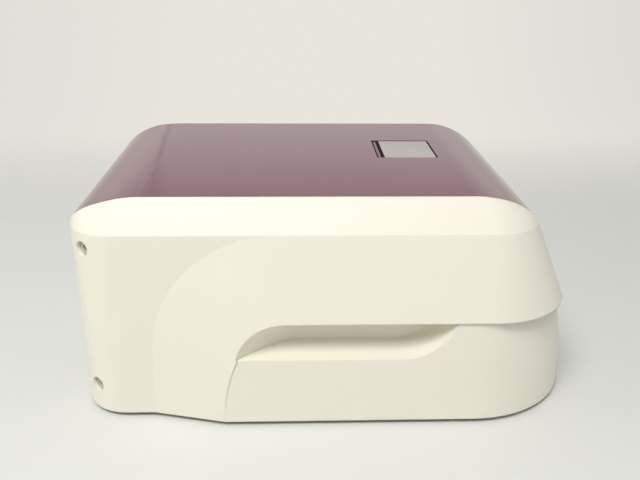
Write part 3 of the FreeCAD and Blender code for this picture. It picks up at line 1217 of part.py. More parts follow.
sized([
    ("optics_x", 150.0, "middle back to the rear edge of the optics plate"),
    ("optics_y", 6.0, "middle to the near edge of the optics plate"),
    ("optics_length", 172.0, "length of the optics plate"),
    ("optics_width", 116.0, "width of the optics plate"),
    ("optics_thickness", 8.0, "thickness of the optics plate"),
    ("optics_rise", 46.0, "base plate to the underside of the optics plate"),
    ("damper_radius", 9.0, "radius of a damping post"),
    ("damper_inset", 14.0, "optics plate edge to a post"),
    ("damper_neck", 5.0, "radius of a damping post's neck"),
    ("plate_hole", 1.6, "radius of a hole in the optics plate"),
    ("plate_pitch", 22.0, "spacing of the holes in the optics plate"),
    ("plate_hole_x", 30.0, "optics plate's rear edge to the first hole"),
    ("plate_hole_y", 14.0, "optics plate's near edge to the first hole"),
    ("damper_waist", 4.0, "radius of the groove round a damping post"),
    ("damper_waist_out", 2.0, "groove's centre outside a damping post's face"),
    ("beam_y", 84.0, "middle to the laser beam"),
    ("beam_rise", 18.0, "optics plate to the laser beam"),
    ("laser_length", 76.0, "length of the laser module"),
    ("laser_width", 34.0, "width of the laser module"),
    ("laser_height", 32.0, "height of the laser module"),
    ("laser_x", 146.0, "middle back to the rear end of the laser"),
    ("laser_mouth", 4.0, "radius of the laser's mouth"),
    ("laser_mouth_in", 8.0, "depth of the mouth in the laser's case"),
    ("laser_snout", 7.0, "radius of the laser's snout"),
    ("laser_snout_length", 8.0, "length of the laser's snout"),
    ("fin", 1.6, "thickness of a heat sink fin"),
    ("fin_pitch", 4.6, "spacing of the heat sink fins"),
    ("fin_height", 16.0, "height of the heat sink fins"),
    ("sink_base", 4.0, "base of the heat sink"),
    ("sink_inset", 3.0, "laser's end to the heat sink"),
    ("cell_x", 16.0, "middle back to the flow cell"),
    ("cell_side", 6.0, "side of the flow cell"),
    ("cell_height", 26.0, "height of the flow cell"),
    ("cell_bore", 0.5, "radius of the flow channel"),
    ("cell_block", 22.0, "side of the flow cell holder"),
    ("cell_window", 12.0, "height of the holder's windows"),
    ("cell_floor", 5.0, "optics plate to the foot of the flow cell"),
    ("holder_height", 36.0, "height of the flow cell holder"),
    ("window_room", 2.0, "holder's window beside the flow cell"),
    ("lens_x", 46.0, "middle back to the beam lens"),
    ("lens_radius", 8.0, "radius of the beam lens"),
    ("lens_thickness", 3.0, "thickness of the beam lens"),
    ("lens_cell_wall", 3.0, "wall of a lens cell"),
    ("lens_cell_depth", 8.0, "depth of a lens cell"),
    ("lens_lip", 1.5, "lip of the lens cell before the beam lens"),
    ("collector_gap", 4.0, "mirror to the collector cell"),
    ("collector_lens_in", 1.0, "collector lens under the face of its cell"),
    ("lens_foot", 14.0, "width of a lens cell's foot"),
    ("mirror_y", 42.0, "middle to the first dichroic mirror"),
    ("mirror_pitch", 28.0, "spacing of the dichroic mirrors"),
    ("mirror_side", 16.0, "side of a dichroic mirror"),
    ("mirror_thickness", 1.6, "thickness of a dichroic mirror"),
    ("mirror_post", 6.0, "radius of a mirror post"),
    ("detector_radius", 10.0, "radius of a light detector"),
    ("detector_length", 30.0, "length of a light detector"),
    ("detector_gap", 16.0, "mirror to a light detector"),
    ("detector_eye", 6.0, "radius of a light detector's window"),
    ("detector_eye_depth", 5.0, "depth of a light detector's window"),
    ("saddle_width", 14.0, "width of a detector's saddle"),
    ("saddle_inset", 4.0, "detector's end to its saddle"),
    ("scatter_gap", 20.0, "flow cell to the scatter detector"),
    ("scatter_side", 20.0, "side of the scatter detector"),
])

OPTICS_Z = FLOOR_Z + " + optics_rise"
OPTICS_TOP = FLOOR_Z + " + optics_rise + optics_thickness"
BEAM_Z = FLOOR_Z + " + optics_rise + optics_thickness + beam_rise"

plate_body = MODEL.addObject("PartDesign::Body", "optics_plate")
plate_face = sketch_in(plate_body, "optics_outline", "XY_Plane")
oblong(plate_face, ("0", "0"), ("optics_length", "optics_width"))
plate_corners = [(x, y) for x in ("damper_inset", "optics_length - damper_inset")
                 for y in ("damper_inset", "optics_width - damper_inset")]
for corner in plate_corners:
    ring(plate_face, corner, "damper_neck + fit_play")
for step in range(6):
    for row in range(2):
        ring(plate_face, ("plate_hole_x + %d * plate_pitch" % step, "plate_hole_y + %d * plate_pitch" % row),
             "plate_hole")
raised(plate_body, "optics_slab", plate_face, "optics_thickness")
placed(plate_body, ("-optics_x", "-optics_y", OPTICS_Z))
node(plate_body)
dampers = []
for index, (x, y) in enumerate(plate_corners):
    at = ("-optics_x + " + x, "-optics_y + " + y)
    leg = rod("damper_leg_%d" % index, "damper_radius", "optics_rise", at + (FLOOR_Z,))
    waist = wire_ring("damper_waist_%d" % index, "damper_radius + damper_waist_out", "damper_waist",
                      at + (FLOOR_Z + " + optics_rise / 2",))
    neck = rod("damper_neck_%d" % index, "damper_neck", "optics_thickness", at + (OPTICS_Z,))
    dampers.append(carved("damper_%d" % index, joined("damper_solid_%d" % index, [leg, neck]), [waist]))
node(grouped("damping_posts", dampers))

laser_case = block("laser_case", ("laser_length", "laser_width", "laser_height"),
                   ("-laser_x", "beam_y - laser_width / 2", OPTICS_TOP))
laser_snout = rod("laser_snout", "laser_snout", "laser_snout_length",
                  ("laser_length - laser_x", "beam_y", BEAM_Z), "x")
laser_bore = rod("laser_bore", "laser_mouth", "laser_mouth_in + laser_snout_length + overrun",
                 ("laser_length - laser_x - laser_mouth_in", "beam_y", BEAM_Z), "x")
node(carved("laser_module", joined("laser_solid", [laser_case, laser_snout]), [laser_bore]))
SINK_Z = OPTICS_TOP + " + laser_height"
sink = [block("sink_slab", ("laser_length - 2 * sink_inset", "laser_width", "sink_base"),
              ("sink_inset - laser_x", "beam_y - laser_width / 2", SINK_Z))]
for step in range(8):
    sink.append(block("sink_fin_%d" % step, ("laser_length - 2 * sink_inset", "fin", "fin_height"),
                      ("sink_inset - laser_x", "beam_y - laser_width / 2 + %d * fin_pitch" % step,
                       SINK_Z + " + sink_base")))
node(joined("laser_heat_sink", sink))

lens_ring = rod("lens_ring", "lens_radius + lens_cell_wall", "lens_cell_depth",
                ("-lens_x", "beam_y", BEAM_Z), "x")
lens_pad = block("lens_pad", ("lens_cell_depth", "lens_foot", "beam_rise"),
                 ("-lens_x", "beam_y - lens_foot / 2", OPTICS_TOP))
lens_seat = rod("lens_seat", "lens_radius", "lens_cell_depth - lens_lip",
                ("lens_lip - lens_x", "beam_y", BEAM_Z), "x")
lens_eye = rod("lens_eye", "lens_radius - lens_lip", "lens_cell_depth + 2 * overrun",
               ("-lens_x - overrun", "beam_y", BEAM_Z), "x")
node(carved("lens_cell", joined("lens_cell_solid", [lens_ring, lens_pad]), [lens_seat, lens_eye]))
node(rod("beam_lens", "lens_radius - fit_play", "lens_thickness", ("lens_lip - lens_x", "beam_y", BEAM_Z),
         "x"))

holder = block("holder_block", ("cell_block", "cell_block", "holder_height"),
               ("-cell_x - cell_block / 2", "beam_y - cell_block / 2", OPTICS_TOP))
WINDOW_Z = BEAM_Z + " - cell_window / 2"
window_along = block("window_along", ("cell_block + 2 * overrun", "cell_side + 2 * window_room",
                                      "cell_window"),
                     ("-cell_x - cell_block / 2 - overrun", "beam_y - cell_side / 2 - window_room", WINDOW_Z))
window_across = block("window_across", ("cell_side + 2 * window_room", "cell_block / 2 + overrun",
                                        "cell_window"),
                      ("-cell_x - cell_side / 2 - window_room", "beam_y - cell_block / 2 - overrun",
                       WINDOW_Z))
cell_seat = block("cell_seat", ("cell_side", "cell_side", "2 * cell_height"),
                  ("-cell_x - cell_side / 2", "beam_y - cell_side / 2", OPTICS_TOP + " + cell_floor"))
node(carved("flow_cell_holder", holder, [window_along, window_across, cell_seat]))
cell_glass = block("cell_glass", ("cell_side", "cell_side", "cell_height"),
                   ("-cell_x - cell_side / 2", "beam_y - cell_side / 2", OPTICS_TOP + " + cell_floor"))
cell_channel = rod("cell_channel", "cell_bore", "cell_height + 2 * overrun",
                   ("-cell_x", "beam_y", OPTICS_TOP + " + cell_floor - overrun"))
node(carved("flow_cell", cell_glass, [cell_channel]))
scatter_case = block("scatter_case", ("scatter_side / 2", "scatter_side", "beam_rise + scatter_side / 2"),
                     ("scatter_gap - cell_x", "beam_y - scatter_side / 2", OPTICS_TOP))
scatter_eye = rod("scatter_eye", "scatter_side / 4", "scatter_side / 4",
                  ("scatter_gap - cell_x - overrun", "beam_y", BEAM_Z), "x")
node(carved("scatter_detector", scatter_case, [scatter_eye]))
collector_ring = rod("collector_ring", "lens_radius + lens_cell_wall", "lens_cell_depth",
                     ("-cell_x", "mirror_y + mirror_side / 2 + collector_gap", BEAM_Z), "y")
collector_pad = block("collector_pad", ("lens_foot", "lens_cell_depth", "beam_rise"),
                      ("-cell_x - lens_foot / 2", "mirror_y + mirror_side / 2 + collector_gap", OPTICS_TOP))
collector_eye = rod("collector_eye", "lens_radius", "lens_cell_depth + 2 * overrun",
                    ("-cell_x", "mirror_y + mirror_side / 2 + collector_gap - overrun", BEAM_Z), "y")
node(carved("collector_cell", joined("collector_solid", [collector_ring, collector_pad]), [collector_eye]))
node(rod("collector_lens", "lens_radius - fit_play", "lens_cell_depth - 2 * collector_lens_in",
         ("-cell_x", "mirror_y + mirror_side / 2 + collector_gap + collector_lens_in", BEAM_Z), "y"))

mirror_turn = Rotation(Vector(0, 0, 1), 45)
mirror_posts = []
mirrors = []
detectors = []
for step in range(2):
    at_y = "mirror_y - %d * mirror_pitch" % step
    mirror_posts.append(rod("mirror_post_%d" % step, "mirror_post", "beam_rise - mirror_side / 2",
                            ("-cell_x", at_y, OPTICS_TOP)))
    glass_plate = MODEL.addObject("Part::Box", "mirror_glass_%d" % step)
    glass_plate.setExpression("Length", tied("mirror_side"))
    glass_plate.setExpression("Width", tied("mirror_thickness"))
    glass_plate.setExpression("Height", tied("mirror_side"))
    placed(glass_plate, ("-cell_x - (mirror_side - mirror_thickness) / 2 * sqrt(0.5)",
                         at_y + " - (mirror_side + mirror_thickness) / 2 * sqrt(0.5)",
                         BEAM_Z + " - mirror_side / 2"), turn=mirror_turn)
    mirrors.append(glass_plate)
    tube = rod("detector_tube_%d" % step, "detector_radius", "detector_length",
               ("-cell_x - detector_gap - detector_length", at_y, BEAM_Z), "x")
    saddle = block("detector_saddle_%d" % step, ("detector_length - 2 * saddle_inset", "saddle_width",
                                                 "beam_rise"),
                   ("-cell_x - detector_gap - detector_length + saddle_inset", at_y + " - saddle_width / 2",
                    OPTICS_TOP))
    eye = rod("detector_eye_%d" % step, "detector_eye", "detector_eye_depth + overrun",
              ("-cell_x - detector_gap - detector_eye_depth", at_y, BEAM_Z), "x")
    detectors.append(carved("detector_%d" % step, joined("detector_solid_%d" % step, [tube, saddle]), [eye]))
node(grouped("mirror_posts", mirror_posts))
node(grouped("dichroic_mirrors", mirrors))
node(grouped("light_detectors", detectors))

# Syringe pump: frame, motor, glass barrel and plunger

sized([
    ("pump_x", 4.0, "middle back to the rear end of the pump frame"),
    ("pump_y", 96.0, "middle to the syringe axis"),
    ("pump_rise", 38.0, "base plate to the pump frame"),
    ("pump_length", 132.0, "length of the pump frame"),
    ("pump_width", 30.0, "width of the pump frame"),
    ("pump_bar", 6.0, "thickness of the pump frame"),
    ("pump_column", 12.0, "side of a pump column"),
    ("motor_side", 28.0, "side of the syringe motor"),
    ("motor_length", 32.0, "length of the syringe motor"),
    ("syringe_rise", 16.0, "pump frame to the syringe axis"),
    ("stem_radius", 2.45, "radius of the plunger stem"),
    ("stem_back", 20.0, "plunger stem behind the motor"),
    ("barrel_bore", 5.0, "radius of the barrel's bore"),
    ("barrel_wall", 2.0, "wall of the barrel"),
    ("barrel_length", 58.0, "length of the barrel"),
    ("piston_length", 6.0, "length of the piston"),
    ("end_plate", 6.0, "thickness of a pump end plate"),
    ("end_plate_height", 32.0, "height of a pump end plate"),
    ("pump_column_x", 36.0, "middle to the rear pump column"),
    ("rest_thickness", 4.0, "thickness of the barrel's rest"),
    ("rest_in", 4.0, "mouth of the barrel to its rest"),
    ("stem_room", 0.5, "room round the plunger stem"),
    ("stem_in", 6.0, "plunger stem in the barrel at rest"),
    ("barrel_floor", 4.0, "floor of the barrel"),
    ("barrel_tip", 1.5, "radius of the way out of the barrel"),
    ("belt_depth", 0.8, "depth of the groove round the motor's middle"),
])

PUMP_Z = FLOOR_Z + " + pump_rise"
PUMP_TOP = FLOOR_Z + " + pump_rise + pump_bar"
SYRINGE_Z = FLOOR_Z + " + pump_rise + pump_bar + syringe_rise"
MOTOR_END = "motor_length - pump_x"
NOSE_PLATE = "pump_length - pump_x - end_plate"
BARREL_X = "pump_length - pump_x - end_plate - barrel_length"
pump_side = "-pump_y - pump_width / 2"
bar = block("pump_bed", ("pump_length", "pump_width", "pump_bar"), ("-pump_x", pump_side, PUMP_Z))
columns = [block("pump_column_%d" % index, ("pump_column", "pump_column", "pump_rise"),
                 (x, "-pump_y - pump_column / 2", FLOOR_Z))
           for index, x in enumerate(["pump_column_x", "pump_length - pump_x - pump_column"])]
motor_wall = block("motor_wall", ("end_plate", "pump_width", "end_plate_height"),
                   (MOTOR_END, pump_side, PUMP_TOP))
nose_wall = block("nose_wall", ("end_plate", "pump_width", "end_plate_height"),
                  (NOSE_PLATE, pump_side, PUMP_TOP))
barrel_rest = block("barrel_rest", ("rest_thickness", "pump_width", "syringe_rise + barrel_bore"),
                    (BARREL_X + " + rest_in", pump_side, PUMP_TOP))
stem_hole = rod("stem_hole", "stem_radius + stem_room", "end_plate + 2 * overrun",
                (MOTOR_END + " - overrun", "-pump_y", SYRINGE_Z), "x")
port_hole = rod("syringe_port", "barrel_tip", "end_plate + 2 * overrun",
                (NOSE_PLATE + " - overrun", "-pump_y", SYRINGE_Z), "x")
barrel_hole = rod("barrel_hole", "barrel_bore + barrel_wall", "rest_thickness + 2 * overrun",
                  (BARREL_X + " + rest_in - overrun", "-pump_y", SYRINGE_Z), "x")
node(carved("syringe_frame", joined("pump_solid", [bar, motor_wall, nose_wall, barrel_rest] + columns),
            [stem_hole, port_hole, barrel_hole]))
motor_block = block("motor_block", ("motor_length", "motor_side", "motor_side"),
                    ("-pump_x", "-pump_y - motor_side / 2", PUMP_TOP))
motor_bore = rod("motor_bore", "stem_radius + fit_play", "motor_length + 2 * overrun",
                 ("-pump_x - overrun", "-pump_y", SYRINGE_Z), "x")
motor_belt = [block("motor_belt_%d" % index, ("motor_length / 2", "belt_depth + overrun",
                                              "motor_side + 2 * overrun"),
                    ("motor_length / 4 - pump_x", y, PUMP_TOP + " - overrun"))
              for index, y in enumerate(["-pump_y - motor_side / 2 - overrun",
                                         "-pump_y + motor_side / 2 - belt_depth"])]
node(carved("syringe_motor", motor_block, [motor_bore] + motor_belt))
barrel_tube = rod("barrel_tube", "barrel_bore + barrel_wall", "barrel_length",
                  (BARREL_X, "-pump_y", SYRINGE_Z), "x")
barrel_inside = rod("barrel_inside", "barrel_bore", "barrel_length - barrel_floor + overrun",
                    (BARREL_X + " - overrun", "-pump_y", SYRINGE_Z), "x")
barrel_neck = rod("barrel_neck", "barrel_tip", "barrel_floor + 2 * overrun",
                  (BARREL_X + " + barrel_length - barrel_floor - overrun", "-pump_y", SYRINGE_Z), "x")
node(carved("syringe_barrel", barrel_tube, [barrel_inside, barrel_neck]))
plunger = MODEL.addObject("PartDesign::Body", "syringe_plunger")
plunger_face = sketch_in(plunger, "plunger_profile", "XZ_Plane")
STEM_LENGTH = "pump_length - end_plate - barrel_length + stem_back + stem_in"
outline(plunger_face, [("0", "0"), ("stem_radius", "0"), ("stem_radius", STEM_LENGTH),
                       ("barrel_bore - fit_play", STEM_LENGTH),
                       ("barrel_bore - fit_play", STEM_LENGTH + " + piston_length"),
                       ("0", STEM_LENGTH + " + piston_length")])
spun(plunger, "plunger_form", plunger_face)
placed(plunger, ("-pump_x - stem_back", "-pump_y", SYRINGE_Z), "x")
node(plunger)

# Sample station: rails, carriage with its tube bore, probe on its column

sized([
    ("station_near", 78.0, "middle to the near end plate of the station"),
    ("station_far", 56.0, "middle to the far face of the station"),
    ("station_plate", 8.0, "thickness of a station end plate"),
    ("station_width", 52.0, "width of the station"),
    ("station_floor", 4.0, "floor of the station"),
    ("rail_z", 90.0, "bench to the sample rails"),
    ("rail_radius", 3.0, "radius of a sample rail"),
    ("station_over", 12.0, "station end plates over the rails"),
    ("rail_pitch", 34.0, "spacing of the sample rails"),
    ("carriage_length", 48.0, "carriage along the body"),
    ("carriage_width", 32.0, "carriage across the body"),
    ("carriage_height", 16.0, "height of the carriage"),
    ("collar_radius", 10.0, "radius of the tube collar"),
    ("collar_top", 124.0, "bench to the top of the tube collar"),
    ("tube_bore", 6.2, "radius of the tube bore"),
    ("tube_floor", 88.0, "bench to the foot of the tube bore"),
    ("probe_reach", 55.0, "hatch middle to the probe"),
    ("column_top", 176.0, "bench to the top of the probe column"),
    ("column_width", 30.0, "width of the probe column"),
    ("guide_radius", 2.0, "radius of a probe guide"),
    ("guide_pitch", 18.0, "spacing of the probe guides"),
    ("guide_gap", 10.0, "column to the probe guides"),
    ("guide_edge", 5.0, "guide axis to the edge of the column's plates"),
    ("guide_seat", 1.0, "column's ends to the ends of a guide"),
    ("column_foot", 4.0, "thickness of the column's foot"),
    ("column_head", 3.0, "thickness of the column's head"),
    ("arm_width", 26.0, "width of the probe arm"),
    ("arm_height", 10.0, "height of the probe arm"),
    ("arm_low", 162.0, "bench to the underside of the probe arm"),
    ("arm_depth", 12.0, "depth of the probe arm round the guides"),
    ("arm_nose", 8.0, "width of the probe arm's nose"),
    ("arm_nose_height", 7.0, "height of the probe arm's nose"),
    ("needle_seat", 6.0, "needle in the probe arm"),
    ("needle_radius", 0.8, "radius of the needle"),
    ("needle_tip", 131.0, "bench to the tip of the needle"),
])

STATION_X = "(hatch_rear - body_length / 2 + hatch_length / 2)"
STATION_Y = "(hatch_side + hatch_width / 2)"
station_floor = block("station_bed", ("station_width", "station_near + station_far", "station_floor"),
                      (STATION_X + " - station_width / 2", "-station_near", FLOOR_Z))
near_plate = block("station_near_plate", ("station_width", "station_plate",
                                          "rail_z + station_over - foot_gap - plate_thickness"),
                   (STATION_X + " - station_width / 2", "-station_near", FLOOR_Z))
far_plate = block("station_far_plate", ("station_width", "station_plate",
                                        "rail_z + station_over - foot_gap - plate_thickness"),
                  (STATION_X + " - station_width / 2", "station_far - station_plate", FLOOR_Z))
node(joined("station_frame", [station_floor, near_plate, far_plate]))
RAIL_LENGTH = "station_near + station_far - 2 * station_plate"
rails = [rod("sample_rail_%d" % index, "rail_radius", RAIL_LENGTH,
             (STATION_X + sign + "rail_pitch / 2", "station_plate - station_near", "rail_z"), "y")
         for index, sign in enumerate([" - ", " + "])]
node(grouped("sample_rails", rails))
carriage_block = block("carriage_block", ("carriage_length", "carriage_width", "carriage_height"),
                       (STATION_X + " - carriage_length / 2", STATION_Y + " - carriage_width / 2",
                        "rail_z - carriage_height / 2"))
collar = rod("tube_collar", "collar_radius", "collar_top - rail_z", (STATION_X, STATION_Y, "rail_z"))
rail_bores = [rod("rail_bore_%d" % index, "rail_radius + fit_play", "carriage_width + 2 * overrun",
                  (STATION_X + sign + "rail_pitch / 2", STATION_Y + " - carriage_width / 2 - overrun",
                   "rail_z"), "y")
              for index, sign in enumerate([" - ", " + "])]
tube_room = rod("tube_room", "tube_bore", "collar_top - tube_floor + overrun",
                (STATION_X, STATION_Y, "tube_floor"))
node(carved("sample_carriage", joined("carriage_solid", [carriage_block, collar]), rail_bores + [tube_room]))

COLUMN_Z = "rail_z + station_over"
GUIDE_Y = "station_plate - station_near + guide_gap"
back = block("column_back", ("column_width", "station_plate", "column_top - rail_z - station_over"),
             (STATION_X + " - column_width / 2", "-station_near", COLUMN_Z))
feet_plate = block("column_foot", ("column_width", "station_plate + guide_gap + guide_edge", "column_foot"),
                   (STATION_X + " - column_width / 2", "-station_near", COLUMN_Z))
head_plate = block("column_head", ("column_width", "station_plate + guide_gap + guide_edge", "column_head"),
                   (STATION_X + " - column_width / 2", "-station_near", "column_top - column_head"))
guide_rods = [rod("probe_guide_%d" % index, "guide_radius",
                  "column_top - rail_z - station_over - 2 * guide_seat",
                  (STATION_X + sign + "guide_pitch / 2", GUIDE_Y, COLUMN_Z + " + guide_seat"))
              for index, sign in enumerate([" - ", " + "])]
node(joined("probe_column", [back, feet_plate, head_plate] + guide_rods))
ARM_Y = GUIDE_Y + " - arm_depth / 2"
arm_bar = block("arm_bar", ("arm_width", "arm_depth", "arm_height"),
                (STATION_X + " - arm_width / 2", ARM_Y, "arm_low"))
arm_nose = block("arm_nose", ("arm_nose", STATION_Y + " - probe_reach + arm_nose / 2 - (" + ARM_Y + ")",
                              "arm_nose_height"),
                 (STATION_X + " - arm_nose / 2", ARM_Y, "arm_low"))
arm_bores = [rod("arm_bore_%d" % index, "guide_radius + fit_play", "arm_height + 2 * overrun",
                 (STATION_X + sign + "guide_pitch / 2", GUIDE_Y, "arm_low - overrun"))
             for index, sign in enumerate([" - ", " + "])]
needle_seat = rod("needle_seat", "needle_radius", "arm_height",
                  (STATION_X, STATION_Y + " - probe_reach", "arm_low - overrun"))
node(carved("probe_arm", joined("arm_solid", [arm_bar, arm_nose]), arm_bores + [needle_seat]))
node(rod("sample_needle", "needle_radius", "arm_low + needle_seat - needle_tip",
         (STATION_X, STATION_Y + " - probe_reach", "needle_tip")))

# Peristaltic pump and valves in the nose

sized([
    ("drive_x", 134.0, "middle to the peristaltic pump along the body"),
    ("drive_y", 38.0, "middle to the peristaltic pump across the body"),
    ("drive_motor", 17.0, "radius of the peristaltic motor"),
    ("drive_height", 34.0, "height of the peristaltic motor"),
    ("drive_case", 27.0, "radius of the pump housing"),
    ("drive_depth", 16.0, "depth of the pump housing"),
    ("drive_floor", 3.0, "floor of the pump housing"),
    ("hose_radius", 1.6, "radius of the pump tube"),
    ("hose_path", 19.6, "radius of the pump tube's path"),
    ("hose_room", 0.3, "room round the pump tube"),
    ("hose_tail", 6.0, "pump tube past the housing"),
    ("rotor_hub", 8.0, "radius of the rotor's hub"),
    ("rotor_reach", 17.5, "radius of the rotor's shoes"),
    ("rotor_shoe", 7.0, "width of a rotor shoe"),
    ("rotor_height", 8.0, "height of the rotor"),
    ("rotor_lift", 0.5, "housing's floor to the rotor"),
    ("shoe_lap", 3.0, "lap of a shoe in the hub"),
    ("shoe_bevel", 2.0, "bevel of a shoe's corners"),
    ("shaft_room", 0.5, "room round the peristaltic shaft"),
    ("drive_shaft", 2.5, "radius of the peristaltic shaft"),
    ("valve_x", 100.0, "middle to the rear end of the valve block"),
    ("valve_y", 66.0, "middle to the near side of the valve block"),
    ("valve_length", 60.0, "length of the valve block"),
    ("valve_width", 28.0, "width of the valve block"),
    ("valve_height", 20.0, "height of the valve block"),
    ("solenoid", 7.5, "radius of a solenoid"),
    ("solenoid_height", 22.0, "height of a solenoid"),
    ("solenoid_pitch", 19.0, "spacing of the solenoids"),
    ("valve_port", 1.5, "radius of a valve port"),
    ("valve_port_depth", 7.0, "depth of a valve port"),
    ("solenoid_in", 11.0, "valve block's end to the first solenoid"),
    ("solenoid_nut", 3.0, "height of a solenoid's nut"),
])

CASE_Z = FLOOR_Z + " + drive_height"
HOSE_Z = CASE_Z + " + drive_floor + rotor_height / 2 + 2 * rotor_lift"
motor_can = rod("drive_can", "drive_motor", "drive_height", ("drive_x", "drive_y", FLOOR_Z))
motor_pin = rod("drive_pin", "drive_shaft", "drive_floor + rotor_height", ("drive_x", "drive_y", CASE_Z))
node(joined("peristaltic_motor", [motor_can, motor_pin]))
case_drum = rod("case_drum", "drive_case", "drive_depth", ("drive_x", "drive_y", CASE_Z))
case_ears = block("case_ears", ("2 * drive_case", "drive_case", "drive_depth"),
                  ("drive_x - drive_case", "drive_y - drive_case", CASE_Z))
track = rod("case_track", "hose_path + hose_radius + hose_room", "drive_depth",
            ("drive_x", "drive_y", CASE_Z + " + drive_floor"))
way_out = block("case_way", ("2 * (hose_path + hose_radius + hose_room)", "drive_case + overrun",
                             "drive_depth"),
                ("drive_x - hose_path - hose_radius - hose_room", "drive_y - drive_case - overrun",
                 CASE_Z + " + drive_floor"))
shaft_hole = rod("case_shaft_hole", "drive_shaft + shaft_room", "drive_depth",
                 ("drive_x", "drive_y", CASE_Z + " - overrun"))
node(carved("peristaltic_housing", joined("case_solid", [case_drum, case_ears]),
            [track, way_out, shaft_hole]))
bend = MODEL.addObject("Part::Torus", "hose_bend")
bend.setExpression("Radius1", tied("hose_path"))
bend.setExpression("Radius2", tied("hose_radius"))
bend.Angle3 = 180
placed(bend, ("drive_x", "drive_y", HOSE_Z))
ends = [rod("hose_end_%d" % index, "hose_radius", "drive_case + hose_tail",
            ("drive_x" + sign + "hose_path", "drive_y",
             HOSE_Z), "-y") for index, sign in enumerate([" - ", " + "])]
node(joined("pump_hose", [bend] + ends))

wheel = MODEL.addObject("PartDesign::Body", "peristaltic_rotor")
wheel_face = sketch_in(wheel, "rotor_hub_face", "XY_Plane")
ring(wheel_face, ("0", "0"), "rotor_hub")
ring(wheel_face, ("0", "0"), "drive_shaft + fit_play")
raised(wheel, "rotor_hub_drum", wheel_face, "rotor_height")
shoe_face = sketch_in(wheel, "rotor_shoe_face", "XY_Plane")
outline(shoe_face, [("rotor_hub - shoe_lap", "-rotor_shoe / 2"),
                    ("rotor_reach - shoe_bevel", "-rotor_shoe / 2"),
                    ("rotor_reach", "-rotor_shoe / 5"), ("rotor_reach", "rotor_shoe / 5"),
                    ("rotor_reach - shoe_bevel", "rotor_shoe / 2"), ("rotor_hub - shoe_lap",
                                                                     "rotor_shoe / 2")])
shoe = raised(wheel, "rotor_shoe_pad", shoe_face, "rotor_height")
patterned(wheel, "rotor_shoes", shoe, "Z_Axis", 3)
placed(wheel, ("drive_x", "drive_y", CASE_Z + " + drive_floor + rotor_lift"))
node(wheel)

valve_body = block("valve_body", ("valve_length", "valve_width", "valve_height"),
                   ("valve_x", "-valve_y", FLOOR_Z))
valve_ports = [rod("valve_port_%d" % step, "valve_port", "valve_port_depth + overrun",
                   ("valve_x + solenoid_in + %d * solenoid_pitch" % step,
                    "valve_width - valve_y - valve_port_depth",
                    FLOOR_Z + " + valve_height / 2"), "y") for step in range(3)]
node(carved("valve_block", valve_body, valve_ports))
coils = []
for step in range(3):
    at = ("valve_x + solenoid_in + %d * solenoid_pitch" % step, "valve_width / 2 - valve_y")
    can = rod("solenoid_can_%d" % step, "solenoid", "solenoid_height", at + (FLOOR_Z + " + valve_height",))
    nut = hexagon("solenoid_nut_%d" % step, "solenoid", "solenoid_nut",
                  at + (FLOOR_Z + " + valve_height + solenoid_height",))
    coils.append(joined("solenoid_%d" % step, [can, nut]))
node(grouped("solenoid_valves", coils))

# Checks and export

MODEL.recompute()
for item in MODEL.Objects:
    if "Invalid" in item.State or "Error" in item.State:
        raise RuntimeError("%s is %s" % (item.Name, item.State))
for item in NODES:
    if item.Shape.isNull() or not item.Shape.isValid() or not item.Shape.Solids:
        raise RuntimeError("%s has no valid shape" % item.Name)
os.makedirs("parts", exist_ok=True)
for item in NODES:
    item.Shape.exportStep("parts/%s.step" % item.Name)
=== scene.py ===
import math

import bpy
from mathutils import Matrix, Vector


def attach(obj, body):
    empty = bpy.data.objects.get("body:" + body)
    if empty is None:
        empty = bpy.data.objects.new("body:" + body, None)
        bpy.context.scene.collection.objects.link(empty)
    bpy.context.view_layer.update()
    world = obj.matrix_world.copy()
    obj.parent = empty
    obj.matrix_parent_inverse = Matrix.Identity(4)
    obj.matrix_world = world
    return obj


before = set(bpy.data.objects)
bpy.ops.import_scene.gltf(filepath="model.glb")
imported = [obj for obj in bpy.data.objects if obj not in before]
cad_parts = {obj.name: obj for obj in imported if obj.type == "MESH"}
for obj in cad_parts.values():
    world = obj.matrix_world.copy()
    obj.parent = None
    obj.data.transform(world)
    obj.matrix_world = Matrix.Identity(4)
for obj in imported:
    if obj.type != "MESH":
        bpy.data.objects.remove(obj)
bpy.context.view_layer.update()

scene = bpy.context.scene
scene.view_settings.view_transform = "Standard"

# The camera stands at the near side, a little above the instrument and left of its middle.
# It is a plain camera with a normal lens, turned slightly down and to the right.

eye = Vector((-0.03331, -0.63699, 0.35559))
camera_data = bpy.data.cameras.new("view")
camera_data.sensor_width = 36
camera_data.lens = 42.1
camera = bpy.data.objects.new("view", camera_data)
scene.collection.objects.link(camera)
look_right = math.radians(-2.3)
look_down = math.radians(90 - 21.875)
tilt = math.radians(0.625)
camera.matrix_world = (Matrix.Translation(eye) @ Matrix.Rotation(look_right, 4, "Z")
                       @ Matrix.Rotation(look_down, 4, "X") @ Matrix.Rotation(tilt, 4, "Z"))
scene.camera = camera

# The backdrop: a pale bench top that runs on and curves up into a pale wall.
# It is one painted sheet, matt, with no line where it turns upwards.


